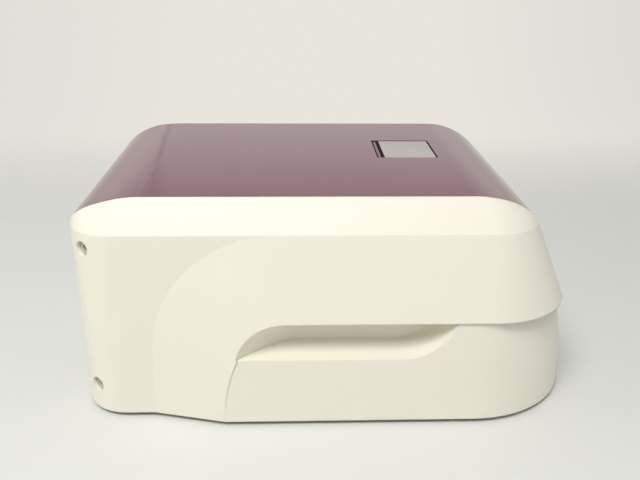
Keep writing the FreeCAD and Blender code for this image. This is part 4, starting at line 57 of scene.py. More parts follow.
class Value:
    """A socket that takes part in sums: every operator adds its own Math node."""

    def __init__(self, shader, socket):
        self.shader = shader
        self.socket = socket

    def sum_with(self, operation, *terms):
        return self.shader.put("ShaderNodeMath", {"operation": operation}, *terms)

    def __add__(self, other): return self.sum_with("ADD", self, other)
    def __radd__(self, other): return self.sum_with("ADD", other, self)
    def __sub__(self, other): return self.sum_with("SUBTRACT", self, other)
    def __rsub__(self, other): return self.sum_with("SUBTRACT", other, self)
    def __mul__(self, other): return self.sum_with("MULTIPLY", self, other)
    def __rmul__(self, other): return self.sum_with("MULTIPLY", other, self)
    def __truediv__(self, other): return self.sum_with("DIVIDE", self, other)
    def __mod__(self, other): return self.sum_with("FLOORED_MODULO", self, other)
    def __pow__(self, other): return self.sum_with("POWER", self, other)
    def __abs__(self): return self.sum_with("ABSOLUTE", self)
    def __gt__(self, other): return self.sum_with("GREATER_THAN", self, other)
    def __lt__(self, other): return self.sum_with("LESS_THAN", self, other)
    def __or__(self, other): return self.sum_with("MAXIMUM", self, other)
    def __and__(self, other): return self.sum_with("MINIMUM", self, other)


class Shader:
    """One material: put() adds any node, with its settings first and its sockets after."""

    def __init__(self, name):
        self.material = bpy.data.materials.new(name)
        self.material.use_nodes = True
        self.nodes = self.material.node_tree.nodes
        self.links = self.material.node_tree.links
        self.nodes.clear()
        self.output = self.nodes.new("ShaderNodeOutputMaterial")

    def feed(self, socket, value):
        """Links a value to a socket, or sets the socket to a number or colour."""
        if isinstance(value, Value):
            self.links.new(value.socket, socket)
            return
        wide = len(socket.default_value) if hasattr(socket.default_value, "__len__") else 0
        if wide and not hasattr(value, "__len__"):
            value = [value] * wide
        if wide == 4 and len(value) == 3:
            value = list(value) + [1.0]
        socket.default_value = value

    def put(self, kind, settings=None, *values, out=0, **named):
        made = self.nodes.new(kind)
        for key, value in (settings or {}).items():
            if key == "stops":
                ramp = made.color_ramp
                while len(ramp.elements) < len(value):
                    ramp.elements.new(0.5)
                for element, (place, colour) in zip(ramp.elements, value):
                    element.position = place
                    element.color = list(colour) + [1.0]
            else:
                setattr(made, key, value)
        for socket, value in zip(made.inputs, values):
            self.feed(socket, value)
        for key, value in named.items():
            self.feed(made.inputs[key.replace("_", " ")], value)
        return Value(self, made.outputs[out])

    def points(self):
        """The object's own coordinates."""
        return self.put("ShaderNodeTexCoord", out="Object")

    def split(self, vector):
        """The three parts of a vector."""
        parts = self.put("ShaderNodeSeparateXYZ", {}, vector)
        return [Value(self, socket) for socket in parts.socket.node.outputs]

    def axes(self):
        return self.split(self.points())

    def facing(self):
        """The three parts of the surface's normal."""
        return self.split(self.put("ShaderNodeNewGeometry", out="Normal"))

    def noise(self, size, detail=4.0, stretch=(1, 1, 1)):
        """Soft noise of a size in metres, drawn out into streaks along an axis whose share is small."""
        points = self.put("ShaderNodeMapping", {}, self.points(), Scale=stretch)
        return self.put("ShaderNodeTexNoise", {}, out="Fac", Vector=points, Scale=1.0 / size, Detail=detail)

    def faded(self, value, start, end, low, high, blend="LINEAR"):
        """Runs from low to high while the value runs from start to end."""
        return self.put("ShaderNodeMapRange", {"interpolation_type": blend}, value, start, end, low, high)

    def mixed(self, share, first, second):
        """Two colours by a share; the Mix node's colour sockets have numbers, as its names are shared."""
        made = self.nodes.new("ShaderNodeMix")
        made.data_type = "RGBA"
        for number, value in ((0, share), (6, first), (7, second)):
            self.feed(made.inputs[number], value)
        return Value(self, made.outputs[2])

    def relief(self, height, depth, strength=1.0, **sockets):
        return self.put("ShaderNodeBump", {}, Strength=strength, Distance=depth, Height=height, **sockets)

    def surface(self, **sockets):
        return self.finish(self.put("ShaderNodeBsdfPrincipled", {}, **sockets))

    def finish(self, look):
        self.links.new(look.socket, self.output.inputs["Surface"])
        return self.material


def dress(piece, material):
    """Gives a node or a piece one material all over."""
    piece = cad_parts[piece] if isinstance(piece, str) else piece
    piece.data.materials.clear()
    piece.data.materials.append(material)


def pick_edges(piece, wanted):
    """Selects only the edges whose two ends pass a test, and stays in edit mode."""
    bpy.ops.object.mode_set(mode="EDIT")
    bpy.ops.mesh.select_mode(type="EDGE")
    bpy.ops.mesh.select_all(action="DESELECT")
    bpy.ops.object.mode_set(mode="OBJECT")
    for edge in piece.data.edges:
        first, second = (piece.data.vertices[corner].co for corner in edge.vertices)
        edge.select = wanted(first, second)
    bpy.ops.object.mode_set(mode="EDIT")


sweep = Shader("pale backdrop")
along, depth, height = sweep.axes()
by_camera, by_gloss, by_glass = (sweep.put("ShaderNodeLightPath", out=kind)
                                 for kind in ("Is Camera Ray", "Is Glossy Ray", "Is Transmission Ray"))

# Painted shade: the wall is darker towards its left and right ends than in its middle, where the light falls
# off.
left_tone, right_tone, middle_tone = (0.70, 0.71, 0.665), (0.645, 0.655, 0.62), (0.81, 0.785, 0.72)
wall_middle, middle_reach, side_reach = 0.05, 0.25, 1.1
painted_side_shade_tone = sweep.mixed(along > 0.0, left_tone, right_tone)
near_middle = sweep.faded(abs(along - wall_middle), middle_reach, side_reach, 1.0, 0.0)
low_tone = sweep.mixed(near_middle, painted_side_shade_tone, middle_tone)

# Painted light: higher up the wall holds a bright band that turns darker above it, for the glossy top cover
# to reflect.
top_of_ramp = 0.8
painted_wall_light_stops = [(0.0, (0.98, 0.98, 0.96)), (0.60, (0.98, 0.98, 0.96)), (0.74, (0.86, 0.84, 0.84)),
              (0.82, (0.62, 0.62, 0.64)), (1.0, (0.50, 0.50, 0.54))]
high_tone = sweep.put("ShaderNodeValToRGB", {"stops": painted_wall_light_stops}, height / top_of_ramp)
# Painted reflection: a soft dark vertical stripe in the wall, seen only by glossy rays, which the plum top
# reflects.
reflected_stripe_x, reflected_stripe_core, reflected_stripe_fade, reflected_stripe_share, reflected_stripe_tone = -0.385, 0.006, 0.022, 0.34, (0.30, 0.25, 0.28)
painted_reflection_share = sweep.faded(abs(along - reflected_stripe_x), reflected_stripe_core, reflected_stripe_fade, reflected_stripe_share, 0.0) * by_gloss
high_tone = sweep.mixed(painted_reflection_share, high_tone, reflected_stripe_tone)
high_from, high_full = 0.25, 0.40
wall_tone = sweep.mixed(sweep.faded(height, high_from, high_full, 0.0, 1.0), low_tone, high_tone)
glow = sweep.put("ShaderNodeEmission", {}, Color=wall_tone, Strength=1.0)

bench_tone = sweep.mixed(sweep.noise(0.004), (0.725, 0.735, 0.71), (0.745, 0.755, 0.73))
paint = sweep.put("ShaderNodeBsdfPrincipled", {}, Base_Color=bench_tone, Roughness=0.55)
glow_from, glow_full = 0.30, 0.85
seen = sweep.faded(depth, glow_from, glow_full, 0.0, 1.0, "SMOOTHSTEP") * (by_camera | by_gloss | by_glass)
sweep_paint = sweep.finish(sweep.put("ShaderNodeMixShader", {}, seen, paint, glow))

bench_size, bench_end, cove_radius, cove_steps, wall_height = 6, 0.85, 0.35, 16, 3.0
bpy.ops.object.select_all(action="DESELECT")
bpy.ops.mesh.primitive_plane_add(size=bench_size, location=(0, bench_end - bench_size / 2, 0))
backdrop = bpy.context.object
backdrop.name = "backdrop"
bpy.ops.object.transform_apply(location=True)
pick_edges(backdrop, lambda first, second: min(first.y, second.y) > 0)
run = cove_radius * math.pi / 2 / cove_steps
for step in range(cove_steps):
    turn = math.radians(90 * (step + 0.5) / cove_steps)
    bpy.ops.mesh.extrude_region_move(
        TRANSFORM_OT_translate={"value": (0, run * math.cos(turn), run * math.sin(turn))})
bpy.ops.mesh.extrude_region_move(TRANSFORM_OT_translate={"value": (0, 0, wall_height)})
bpy.ops.object.mode_set(mode="OBJECT")
bpy.ops.object.shade_smooth_by_angle(angle=math.radians(30))
dress(backdrop, sweep_paint)

# The light: an even pale sky from all round, with large soft lamps over it.
# The main lamp hangs over the near side, and a weaker one stands at either end.

sky = bpy.data.worlds.new("soft sky")
scene.world = sky
sky.use_nodes = True
sky.node_tree.nodes["Background"].inputs["Color"].default_value = (1.0, 0.985, 0.965, 1)
sky.node_tree.nodes["Background"].inputs["Strength"].default_value = 0.31
body_middle = Vector((0, 0, 0.1))


def lamp(name, at, size, power, colour):
    """Large soft lamp at a place, aimed at the middle of the body."""
    data = bpy.data.lights.new(name, "AREA")
    data.shape = "RECTANGLE"
    data.size, data.size_y = size
    data.energy = power
    data.color = colour
    item = bpy.data.objects.new(name, data)
    item.location = at
    item.rotation_euler = (body_middle - Vector(at)).to_track_quat("-Z", "Y").to_euler()
    scene.collection.objects.link(item)


lamp("lamp over the bench", (-0.38, -1.18, 1.78), (1.1, 0.7), 33.5, (1.0, 0.99, 0.965))
lamp("lamp at the left", (-1.9, -0.3, 0.8), (1.2, 1.0), 6, (1.0, 0.98, 0.94))
lamp("lamp at the right", (1.9, -0.2, 0.7), (1.0, 1.0), 2.5, (1.0, 0.99, 0.96))

# The base plate: one flat sheet of zinc-plated steel with two rows of vent slots.
# The plating shows soft spangles, and the sheet carries everything inside.


def cells(shader, per_metre, out):
    """Irregular cells, so many to the metre: each one's colour, or the distance to its middle."""
    return shader.put("ShaderNodeTexVoronoi", {"feature": "F1"}, out=out,
                      Vector=shader.points(), Scale=per_metre)


def zinc_sheet(name, dark, light, rough):
    """Plated sheet with soft spangles and faint scuffs."""
    shader = Shader(name)
    share = shader.split(cells(shader, 160.0, "Color"))[0] * 0.7 + shader.noise(0.02, 3) * 0.3
    scuffs = shader.noise(0.0008, 3, (0.05, 1, 1))
    return shader.surface(Base_Color=shader.mixed(share, dark, light), Metallic=0.9,
                          Roughness=share * 0.12 + rough + scuffs * 0.05,
                          Normal=shader.relief(scuffs, 0.00005, 0.3))


dress("base_plate", zinc_sheet("zinc plated sheet", (0.42, 0.43, 0.44), (0.56, 0.57, 0.575), 0.34))

# The feet: four pads of black rubber under the base plate.
# They are moulded, with a fine matt skin that holds a little dust.


def moulded(name, dark, light, rough, grain_size=0.0007, grain_depth=0.00006, **sockets):
    """Moulded plastic or rubber: a fine even grain and a slight drift of tone."""
    shader = Shader(name)
    grain = shader.noise(grain_size, 2)
    return shader.surface(Base_Color=shader.mixed(shader.noise(0.025, 3), dark, light),
                          Roughness=shader.noise(0.012, 3) * 0.08 + rough,
                          Normal=shader.relief(grain, grain_depth, 0.35), **sockets)


dress("feet", moulded("black foot rubber", (0.022, 0.022, 0.023), (0.038, 0.037, 0.036), 0.70, 0.0011))

# The corner posts: two extruded aluminium angles that stand in the rear corners.
# Their drawn streaks run up and down. The rear panel and the side covers are screwed to them.


def drawn_metal(name, dark, light, rough, along, fine=0.0005, metallic=1.0):
    """Metal with the fine streaks that drawing, rolling or grinding leaves along one direction."""
    shader = Shader(name)
    stretch = [0.02 if axis == along else 1.0 for axis in "xyz"]
    streaks = shader.noise(fine, 3, stretch)
    cloud = shader.noise(0.015, 3)
    return shader.surface(Base_Color=shader.mixed(streaks * 0.6 + cloud * 0.4, dark, light),
                          Metallic=metallic, Roughness=streaks * 0.12 + cloud * 0.06 + rough,
                          Normal=shader.relief(streaks, 0.00003, 0.4))


post_alloy = drawn_metal("drawn aluminium", (0.62, 0.625, 0.63), (0.76, 0.765, 0.77), 0.26, "z")
for name in ("corner_post_near", "corner_post_far"):
    dress(name, post_alloy)

# The rear panel: a steel sheet with cut-outs for every fitting, between the two side covers.
# It is powder coated in pale grey, with the fine orange peel of such paint.

coat = Shader("pale grey powder coat")
peel = coat.noise(0.0016, 3)
coat_tone = coat.mixed(coat.noise(0.03, 3), (0.60, 0.60, 0.585), (0.64, 0.64, 0.62))
dress("rear_panel", coat.surface(Base_Color=coat_tone, Roughness=peel * 0.10 + 0.42,
                                 Normal=coat.relief(peel, 0.00012, 0.5)))

# The panel screws: socket head screws of bright zinc-plated steel at the edges of the rear panel.
# Turning leaves fine marks on the heads, which shade from pale to slightly blue.

dress("panel_screws", drawn_metal("bright screw steel", (0.50, 0.51, 0.53), (0.66, 0.67, 0.69),
                                  0.22, "x", 0.0003))

# The fan: a square frame and a seven-bladed rotor of black plastic, behind a guard of plated wire.
# The guard's wires are welded and bright, and the fan is screwed to the rear panel.

black_plastic = moulded("black plastic", (0.020, 0.020, 0.022), (0.030, 0.030, 0.032), 0.48)
dress("fan_frame", black_plastic)
blades = Shader("smooth black plastic")
swirl = blades.noise(0.004, 3)
blade_tone = blades.mixed(swirl, (0.026, 0.026, 0.029), (0.040, 0.040, 0.044))
dress("fan_rotor", blades.surface(Base_Color=blade_tone, Roughness=swirl * 0.12 + 0.28,
                                  Normal=blades.relief(swirl, 0.00005, 0.2)))
dress("fan_guard", drawn_metal("bright wire", (0.62, 0.62, 0.62), (0.78, 0.78, 0.77), 0.16, "y", 0.0004))

# The power inlet: a black moulded shell in the rear panel, with three flat pins of plated brass.
# The shell is clipped into its cut-out and the pins are pressed through its floor.

dress("power_inlet", black_plastic)
dress("inlet_pins", drawn_metal("plated brass", (0.70, 0.66, 0.56), (0.80, 0.76, 0.66), 0.24, "x", 0.0003))

# The rocker switch: a black frame with a glossier rocker that tilts in it.
# The rocker's two ends carry the white line and ring that stand for on and off.

dress("rocker_frame", black_plastic)
rocker = Shader("marked rocker plastic")
rocker_y, line_z, ring_z, face_x = -0.034, 0.0415, 0.0325, -0.186
line_half, line_reach, ring_radius, ring_half = 0.0003, 0.0015, 0.0014, 0.00028
deep, across, up = rocker.axes()
aside = across - rocker_y
line = (abs(aside) < line_half) & (abs(up - line_z) < line_reach)
ring = abs((aside ** 2 + (up - ring_z) ** 2) ** 0.5 - ring_radius) < ring_half
marks = (line | ring) & (deep < face_x)
rocker_grain = rocker.noise(0.0008, 2)
rocker_tone = rocker.mixed(marks, (0.022, 0.022, 0.024), (0.78, 0.78, 0.76))
dress("power_rocker", rocker.surface(Base_Color=rocker_tone, Roughness=rocker_grain * 0.08 + 0.28,
                                     Normal=rocker.relief(rocker_grain, 0.00004, 0.25)))

# The data socket: a folded shell of plated steel round a tongue of white plastic.
# It is pressed into its cut-out in the rear panel.

socket = Shader("plated shell and white tongue")
socket_y, socket_z, room_half_width, room_half_height = -0.006, 0.0355, 0.0047, 0.0043
deep, across, up = socket.axes()
tongue = (abs(across - socket_y) < room_half_width) & (abs(up - socket_z) < room_half_height)
streaks = socket.noise(0.0005, 3, (0.03, 1, 1))
shell_tone = socket.mixed(streaks, (0.60, 0.60, 0.59), (0.74, 0.74, 0.72))
dress("data_socket", socket.surface(Base_Color=socket.mixed(tongue, shell_tone, (0.72, 0.71, 0.67)),
                                    Metallic=1.0 - tongue, Roughness=streaks * 0.10 + 0.24 + tongue * 0.2))

# The fluid ports: barbed fittings of natural white plastic, one above the other.
# Each is held by a six-sided nut, and the moulding looks milky and slightly waxy.

dress("fluid_ports", moulded("milky port plastic", (0.76, 0.75, 0.70), (0.82, 0.81, 0.76), 0.36, 0.0009,
                             Subsurface_Weight=0.15, Subsurface_Radius=(0.002, 0.002, 0.0015)))

# The power supply: a vented box of zinc-plated steel, with a black terminal strip at its end.
# It is screwed down on the base plate at the rear of the near side.

dress("power_supply", zinc_sheet("plated supply case", (0.50, 0.51, 0.52), (0.66, 0.67, 0.675), 0.30))
dress("terminal_strip", moulded("terminal plastic", (0.018, 0.018, 0.019), (0.030, 0.029, 0.028), 0.42))

# The main board: glass-filled board under a green mask, with fine copper runs and tinned holes.
# It stands on brass pillars, whose screws hold its corners.

board = Shader("green masked board")
run_pitch, run_width, hole_cells, hole_share = 0.0016, 0.0006, 170.0, 0.11
run_x, run_y = board.axes()[:2]
patch = board.noise(0.014, 1) > 0.5
runs = patch * ((run_x % run_pitch) < run_width) + (1 - patch) * ((run_y % run_pitch) < run_width)
copper = runs * (board.noise(0.02, 1, (1, 1.5, 1)) > 0.46)
holes = cells(board, hole_cells, "Distance") < hole_share
mask_tone = board.mixed(copper, (0.010, 0.085, 0.035), (0.020, 0.150, 0.060))
face_tone = board.mixed(holes, mask_tone, (0.66, 0.66, 0.64))
edge_face = abs(board.facing()[2]) < 0.5
dress("main_board", board.surface(Base_Color=board.mixed(edge_face, face_tone, (0.42, 0.38, 0.20)),
                                  Metallic=holes * 0.9, Roughness=copper * -0.06 + 0.34 + edge_face * 0.3,
                                  Normal=board.relief(copper, 0.00004, 0.5)))
dress("board_pillars", drawn_metal("turned brass", (0.62, 0.46, 0.20), (0.76, 0.58, 0.28), 0.24, "z", 0.0004))

# The chips: flat packages of black resin, three large and three small, with tinned legs all round.
# A pale dot marks the first corner of each.

chips = Shader("chip resin and legs")
leg_pitch, leg_width, leg_top = 0.00127, 0.0006, 0.0164
chip_start, chip_pitch, dot_in, dot_radius = -0.056, 0.02, 0.0017, 0.0006
rows_middle, dot_from_middle = -0.0725, 0.01
run_x, run_y, rise = chips.axes()
side_x, side_y = chips.facing()[:2]
legs = (((run_x % leg_pitch) < leg_width) * (abs(side_y) > 0.5)
        + ((run_y % leg_pitch) < leg_width) * (abs(side_x) > 0.5)) * (rise < leg_top)
from_dot_x = (run_x - chip_start) % chip_pitch - dot_in
from_dot_y = abs(run_y - rows_middle) - dot_from_middle
dot = (from_dot_x ** 2 + from_dot_y ** 2) ** 0.5 < dot_radius
resin = chips.noise(0.0006, 3)
resin_tone = chips.mixed(resin, (0.018, 0.018, 0.019), (0.032, 0.032, 0.033))
marked_tone = chips.mixed(dot, resin_tone, (0.09, 0.09, 0.09))
dress("board_chips", chips.surface(Base_Color=chips.mixed(legs, marked_tone, (0.70, 0.70, 0.68)),
                                   Metallic=legs, Roughness=resin * 0.15 + 0.42,
                                   Normal=chips.relief(resin, 0.00004, 0.4)))

# The capacitors: five aluminium cans in dark sleeves, with a pale stripe down one side.
# The bare tops are scored with a cross, where the can gives way.

cans = Shader("sleeved capacitor can")
can_start, can_pitch, can_y = -0.055, 0.01, -0.04
bare_radius, score_half, stripe_from = 0.0034, 0.00016, 0.0027
run_x, run_y = cans.axes()[:2]
can_x = (run_x - can_start) % can_pitch - can_pitch / 2
can_aside = run_y - can_y
top = (cans.facing()[2] > 0.5) * ((can_x ** 2 + can_aside ** 2) ** 0.5 < bare_radius)
score = top * ((abs(can_x) < score_half) | (abs(can_aside) < score_half))
stripe = (1 - top) * (can_x > stripe_from)
sleeve = cans.mixed(stripe, (0.025, 0.028, 0.045), (0.55, 0.56, 0.58))
bare = cans.mixed(score, (0.72, 0.72, 0.72), (0.30, 0.30, 0.30))
dress("board_capacitors", cans.surface(Base_Color=cans.mixed(top, sleeve, bare), Metallic=top,
                                       Roughness=cans.noise(0.003, 3) * 0.1 + 0.30,
                                       Normal=cans.relief(1 - score, 0.0001, 0.5)))

# The cable headers: open shells of natural nylon on the near edge of the board.
# They are moulded, slightly yellow.

dress("board_headers", moulded("natural nylon", (0.66, 0.62, 0.50), (0.74, 0.70, 0.58), 0.40))

# The optics plate: a thick milled plate on four damping posts, with the laser and the lenses on it.
# It is bead blasted and anodised black, so that no stray light comes back from it.


def anodised(name, dark, light, rough):
    """Blasted and anodised aluminium: matt, with a very fine sparkle in it."""
    shader = Shader(name)
    blast = shader.noise(0.0004, 4)
    return shader.surface(Base_Color=shader.mixed(blast * 0.6 + shader.noise(0.02, 2) * 0.4, dark, light),
                          Metallic=0.55, Roughness=blast * 0.14 + rough,
                          Normal=shader.relief(blast, 0.00004, 0.5))


black_anodised = anodised("black anodised", (0.016, 0.016, 0.018), (0.034, 0.034, 0.037), 0.42)
for name in ("optics_plate", "laser_module", "lens_cell", "flow_cell_holder", "scatter_detector",
             "collector_cell"):
    dress(name, black_anodised)

# The damping posts: bellied pads of soft blue-grey gel rubber between two steel washers.
# They stand on the base plate and keep the pumps' shaking away from the optics.

gel = Shader("gel rubber and washers")
upper_washer, lower_washer = 0.0500, 0.0080
rise = gel.axes()[2]
washer = (rise > upper_washer) | (rise < lower_washer)
gel_grain = gel.noise(0.0009, 2)
gel_tone = gel.mixed(gel.noise(0.012, 2), (0.075, 0.095, 0.14), (0.10, 0.125, 0.175))
dress("damping_posts", gel.surface(Base_Color=gel.mixed(washer, gel_tone, (0.60, 0.60, 0.61)),
                                   Metallic=washer, Roughness=gel_grain * 0.1 + 0.5 - washer * 0.2,
                                   Normal=gel.relief(gel_grain, 0.00006, 0.4)))

# The heat sink: an extruded block of fins on the laser's case.
# It is clear anodised aluminium, and the die marks run along the fins.

dress("laser_heat_sink", drawn_metal("extruded fins", (0.66, 0.665, 0.67), (0.78, 0.785, 0.79), 0.30, "x"))

# The lenses and the flow cell: ground and polished glass, and a square cell of clear quartz.
# The lenses carry a thin coating that looks faintly violet, and are glued into their cells.


def clear_glass(name, first, second, index, rough=0.01):
    """Polished clear glass, with a faint drift of tint."""
    shader = Shader(name)
    drift = shader.noise(0.01, 2)
    return shader.surface(Base_Color=shader.mixed(drift, first, second), Roughness=drift * 0.02 + rough,
                          Transmission_Weight=1.0, IOR=index)


coated = clear_glass("coated lens glass", (0.93, 0.90, 0.98), (0.97, 0.95, 1.0), 1.52)
for name in ("beam_lens", "collector_lens"):
    dress(name, coated)
dress("flow_cell", clear_glass("clear quartz", (0.95, 0.97, 0.98), (0.98, 0.99, 1.0), 1.46))

# The colour splitters: thin coated plates that stand slanted on short posts.
# The coating turns from gold to blue as the light meets it more flatly.

splitter = Shader("splitter coating")
turned = splitter.put("ShaderNodeLayerWeight", {}, out="Facing", Blend=0.5)
film = splitter.noise(0.006, 2)
film_stops = [(0.0, (0.80, 0.52, 0.18)), (0.5, (0.72, 0.30, 0.52)), (1.0, (0.22, 0.45, 0.86))]
film_tone = splitter.put("ShaderNodeValToRGB", {"stops": film_stops}, turned * 0.9 + film * 0.1)
dress("dichroic_mirrors", splitter.surface(Base_Color=film_tone, Metallic=0.85, Roughness=film * 0.04 + 0.05))
dress("mirror_posts", drawn_metal("turned aluminium", (0.64, 0.645, 0.65), (0.76, 0.765, 0.77),
                                  0.28, "z", 0.0004))

# The light detectors: two die-cast cans of grey paint on metal, with an eye at the front.
# The paint is a fine hammered coat.

dress("light_detectors", moulded("hammered grey paint", (0.26, 0.27, 0.28), (0.34, 0.35, 0.36), 0.36, 0.0018,
                                 0.00015, Metallic=0.25))

# The syringe pump: a milled aluminium frame with a stepping motor, a glass barrel and a steel plunger.
# The motor shows its stacked plates, the barrel is marked with ticks, and the plunger's head is white.

dress("syringe_frame", drawn_metal("milled aluminium", (0.60, 0.605, 0.61), (0.74, 0.745, 0.75), 0.28, "x"))
motor = Shader("laminated motor")
stack_from, stack_to, sheet_pitch = 0.003, 0.021, 0.0006
deep = motor.axes()[0]
laminated = (deep > stack_from) & (deep < stack_to)
plates = laminated * ((deep % sheet_pitch) < sheet_pitch / 2)
stack_tone = motor.mixed(plates, (0.055, 0.055, 0.06), (0.16, 0.16, 0.17))
dress("syringe_motor", motor.surface(Base_Color=motor.mixed(laminated, (0.60, 0.60, 0.61), stack_tone),
                                     Metallic=0.9, Roughness=motor.noise(0.002, 3) * 0.12 + 0.32,
                                     Normal=motor.relief(plates, 0.00005, 0.6)))
barrel = Shader("marked barrel glass")
tick_pitch, tick_width, tick_reach, barrel_y = 0.002, 0.0003, 0.0024, -0.096
ticks_over, ticks_from, ticks_to = 0.0700, 0.072, 0.116
deep, across, up = barrel.axes()
tick = ((deep % tick_pitch) < tick_width) * (abs(across - barrel_y) < tick_reach)
ticks = tick * (up > ticks_over) * (deep > ticks_from) * (deep < ticks_to)
dress("syringe_barrel", barrel.surface(Base_Color=barrel.mixed(ticks, (0.95, 0.98, 0.97), (0.02, 0.02, 0.03)),
                                       Roughness=barrel.noise(0.01, 2) * 0.02 + 0.02,
                                       Transmission_Weight=1.0, IOR=1.50))
plunger = Shader("plunger steel and white head")
head_from = 0.0690
head = plunger.axes()[0] > head_from
streaks = plunger.noise(0.0004, 3, (0.02, 1, 1))
steel_tone = plunger.mixed(streaks, (0.60, 0.60, 0.60), (0.74, 0.74, 0.735))
dress("syringe_plunger", plunger.surface(Base_Color=plunger.mixed(head, steel_tone, (0.82, 0.82, 0.80)),
                                         Metallic=1.0 - head, Roughness=streaks * 0.1 + 0.18 + head * 0.25))

# The sample station: a folded aluminium frame under the hatch, with two ground rails.
# The white carriage slides on the rails, and the collar on it takes a sample tube.

dress("station_frame", drawn_metal("brushed aluminium", (0.58, 0.585, 0.59), (0.72, 0.725, 0.73), 0.30, "y"))
dress("sample_rails", drawn_metal("ground steel rail", (0.62, 0.62, 0.63), (0.76, 0.76, 0.765),
                                  0.12, "y", 0.0003))
dress("sample_carriage", moulded("white carriage plastic", (0.74, 0.735, 0.70), (0.80, 0.795, 0.76), 0.38))

# The probe: a column with two guide rods, and a black arm on them that carries the steel needle.
# The arm rides up and down, so that the needle can dip into a tube in the carriage.

dress("probe_column", drawn_metal("column aluminium", (0.60, 0.605, 0.61), (0.74, 0.745, 0.75), 0.26, "z"))
dress("probe_arm", moulded("black arm plastic", (0.024, 0.024, 0.026), (0.036, 0.036, 0.038), 0.40))
dress("sample_needle", drawn_metal("needle steel", (0.66, 0.66, 0.665), (0.80, 0.80, 0.80),
                                   0.10, "z", 0.0002))

# The peristaltic pump: a geared motor under a white drum, whose grey rotor rolls on a soft hose.
# The hose is clear silicone, bent into a U inside the drum.

dress("peristaltic_motor", drawn_metal("motor can", (0.52, 0.525, 0.53), (0.66, 0.665, 0.67), 0.26, "z"))
dress("peristaltic_housing", moulded("white pump plastic", (0.72, 0.715, 0.69), (0.78, 0.775, 0.75), 0.40))
dress("peristaltic_rotor", moulded("grey rotor plastic", (0.20, 0.205, 0.21), (0.27, 0.275, 0.28), 0.36))
dress("pump_hose", moulded("clear silicone", (0.80, 0.80, 0.76), (0.86, 0.86, 0.82), 0.30, 0.001, 0.00003,
                           Transmission_Weight=0.55, IOR=1.41))

# The valve block: a bar of clear acrylic with drilled channels, and three black coils on it.
# The coils are potted in resin over a steel foot, and the block is screwed to the base plate.

dress("valve_block", clear_glass("clear acrylic", (0.90, 0.95, 0.96), (0.94, 0.98, 0.985), 1.49, 0.04))
coils = Shader("potted coil and foot")
foot_top = 0.0300
foot = coils.axes()[2] < foot_top
resin = coils.noise(0.0008, 3)
coil_tone = coils.mixed(resin, (0.018, 0.018, 0.020), (0.034, 0.034, 0.036))
dress("solenoid_valves", coils.surface(Base_Color=coils.mixed(foot, coil_tone, (0.55, 0.555, 0.56)),
                                       Metallic=foot, Roughness=resin * 0.12 + 0.34,
                                       Normal=coils.relief(resin, 0.00005, 0.4)))

# The white covers: two side halves, mirror images of each other, and the nose cover between them.
# They are moulded in ivory satin plastic with a fine grain. The halves are screwed to the corner posts.

covers = Shader("ivory satin plastic")
edge_softness = 0.0016
cover_tone = covers.mixed(covers.noise(0.06, 3), (0.825, 0.80, 0.70), (0.85, 0.825, 0.72))
soft_edges = covers.put("ShaderNodeBevel", {"samples": 6}, Radius=edge_softness)
cover_material = covers.surface(Base_Color=cover_tone, IOR=1.46,
                                Roughness=covers.noise(0.02, 3) * 0.06 + 0.42,
                                Normal=covers.relief(covers.noise(0.0006, 2), 0.00002, Normal=soft_edges))
for name in ("side_cover_near", "side_cover_far", "nose_cover"):
    dress(name, cover_material)

# The cover screws: steel socket screws deep in the rounded rear corners, tinted olive-grey as painted shade
# of their deep holes.
# They hold the side covers to the corner posts.

dress("cover_screws", drawn_metal("screw steel", (0.47, 0.455, 0.36), (0.56, 0.545, 0.44),
                                  0.50, "y", 0.0003, 0.1))

# The top cover: one piece of glossy plum plastic that drops in a curve at both ends.
# It is moulded and polished, and clipped down on the white covers; the dark line along its two rims is
# painted shadow.

plum = Shader("plum gloss plastic")
plum_dark, plum_light = (0.150, 0.037, 0.055), (0.165, 0.043, 0.063)
# Painted shadow: the last strip of the cover towards each rim turns dark and rougher, for the gap where it
# meets the white covers.
rim_from, rim_to = 0.1168, 0.1178
painted_rim_shadow = plum.faded(abs(plum.axes()[1]), rim_from, rim_to, 0.0, 0.8)
gloss_tone = plum.mixed(plum.noise(0.08, 2), plum_dark, plum_light)
dress("top_cover", plum.surface(Base_Color=plum.mixed(painted_rim_shadow, gloss_tone, (0.022, 0.012, 0.015)),
                                Roughness=plum.noise(0.03, 2) * 0.05 + 0.10 + painted_rim_shadow * 0.5, IOR=1.5,
                                Normal=plum.relief(plum.noise(0.05, 1), 0.001, 0.05)))

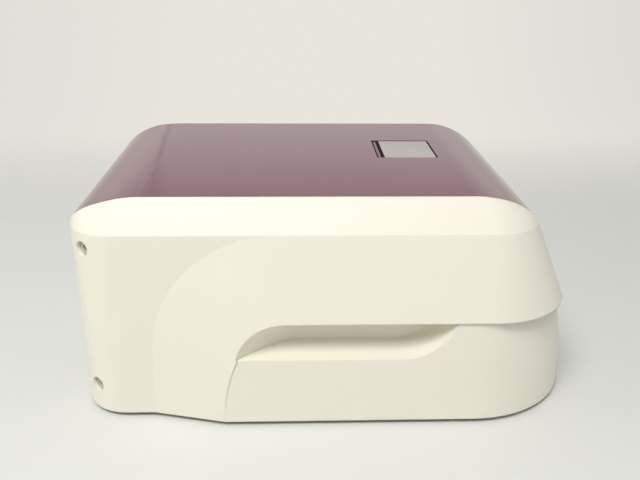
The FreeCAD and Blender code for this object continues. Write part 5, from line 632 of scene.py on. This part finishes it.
# The hatch: a black plate that swings on a steel pin, with a plum knuckle along its hinge side.
# A panel of warm grey plastic is glued on the plate, and a dark groove is left between the two.

plate = Shader("black plate with plum knuckle")
knuckle_to = 0.0444
knuckle = plate.axes()[0] < knuckle_to
plate_grain = plate.noise(0.0008, 2)
dress("hatch_plate", plate.surface(Base_Color=plate.mixed(knuckle, (0.008, 0.006, 0.007), plum_dark),
                                   Roughness=plate_grain * 0.06 + 0.85 - knuckle * 0.71,
                                   Specular_IOR_Level=0.3, Normal=plate.relief(plate_grain, 0.00002, 0.5)))
panel_low, panel_high = Vector((0.0476, -0.0100, 0.1802)), Vector((0.0924, 0.0460, 0.1808))
panel_thickness, corner_radius, rim_radius = panel_high.z - panel_low.z, 0.0012, 0.00022
bpy.ops.object.select_all(action="DESELECT")
bpy.ops.mesh.primitive_cube_add(size=1, location=(panel_low + panel_high) / 2, scale=panel_high - panel_low)
hatch_panel = bpy.context.object
hatch_panel.name = "hatch_panel"
bpy.ops.object.transform_apply(location=True, rotation=True, scale=True)
pick_edges(hatch_panel, lambda first, second: abs(first.z - second.z) > panel_thickness / 2)
bpy.ops.mesh.bevel(offset=corner_radius, segments=5, affect="EDGES")
bpy.ops.object.mode_set(mode="OBJECT")
rim = hatch_panel.modifiers.new("soft rim", "BEVEL")
rim.width, rim.segments, rim.limit_method, rim.angle_limit = rim_radius, 2, "ANGLE", math.radians(40)
bpy.ops.object.modifier_apply(modifier="soft rim")
bpy.ops.object.shade_smooth_by_angle(angle=math.radians(35))
panel = Shader("warm grey plastic")
panel_tone = panel.mixed(panel.noise(0.03, 2), (0.455, 0.425, 0.405), (0.485, 0.455, 0.435))
dress(hatch_panel, panel.surface(Base_Color=panel_tone, Roughness=panel.noise(0.01, 3) * 0.08 + 0.34,
                                 Normal=panel.relief(panel.noise(0.0008, 2), 0.00003, 0.6)))
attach(hatch_panel, "hatch")
dress("hatch_frame", black_plastic)
dress("hatch_pin", drawn_metal("hinge pin steel", (0.62, 0.62, 0.62), (0.76, 0.76, 0.755), 0.14, "y", 0.0003))
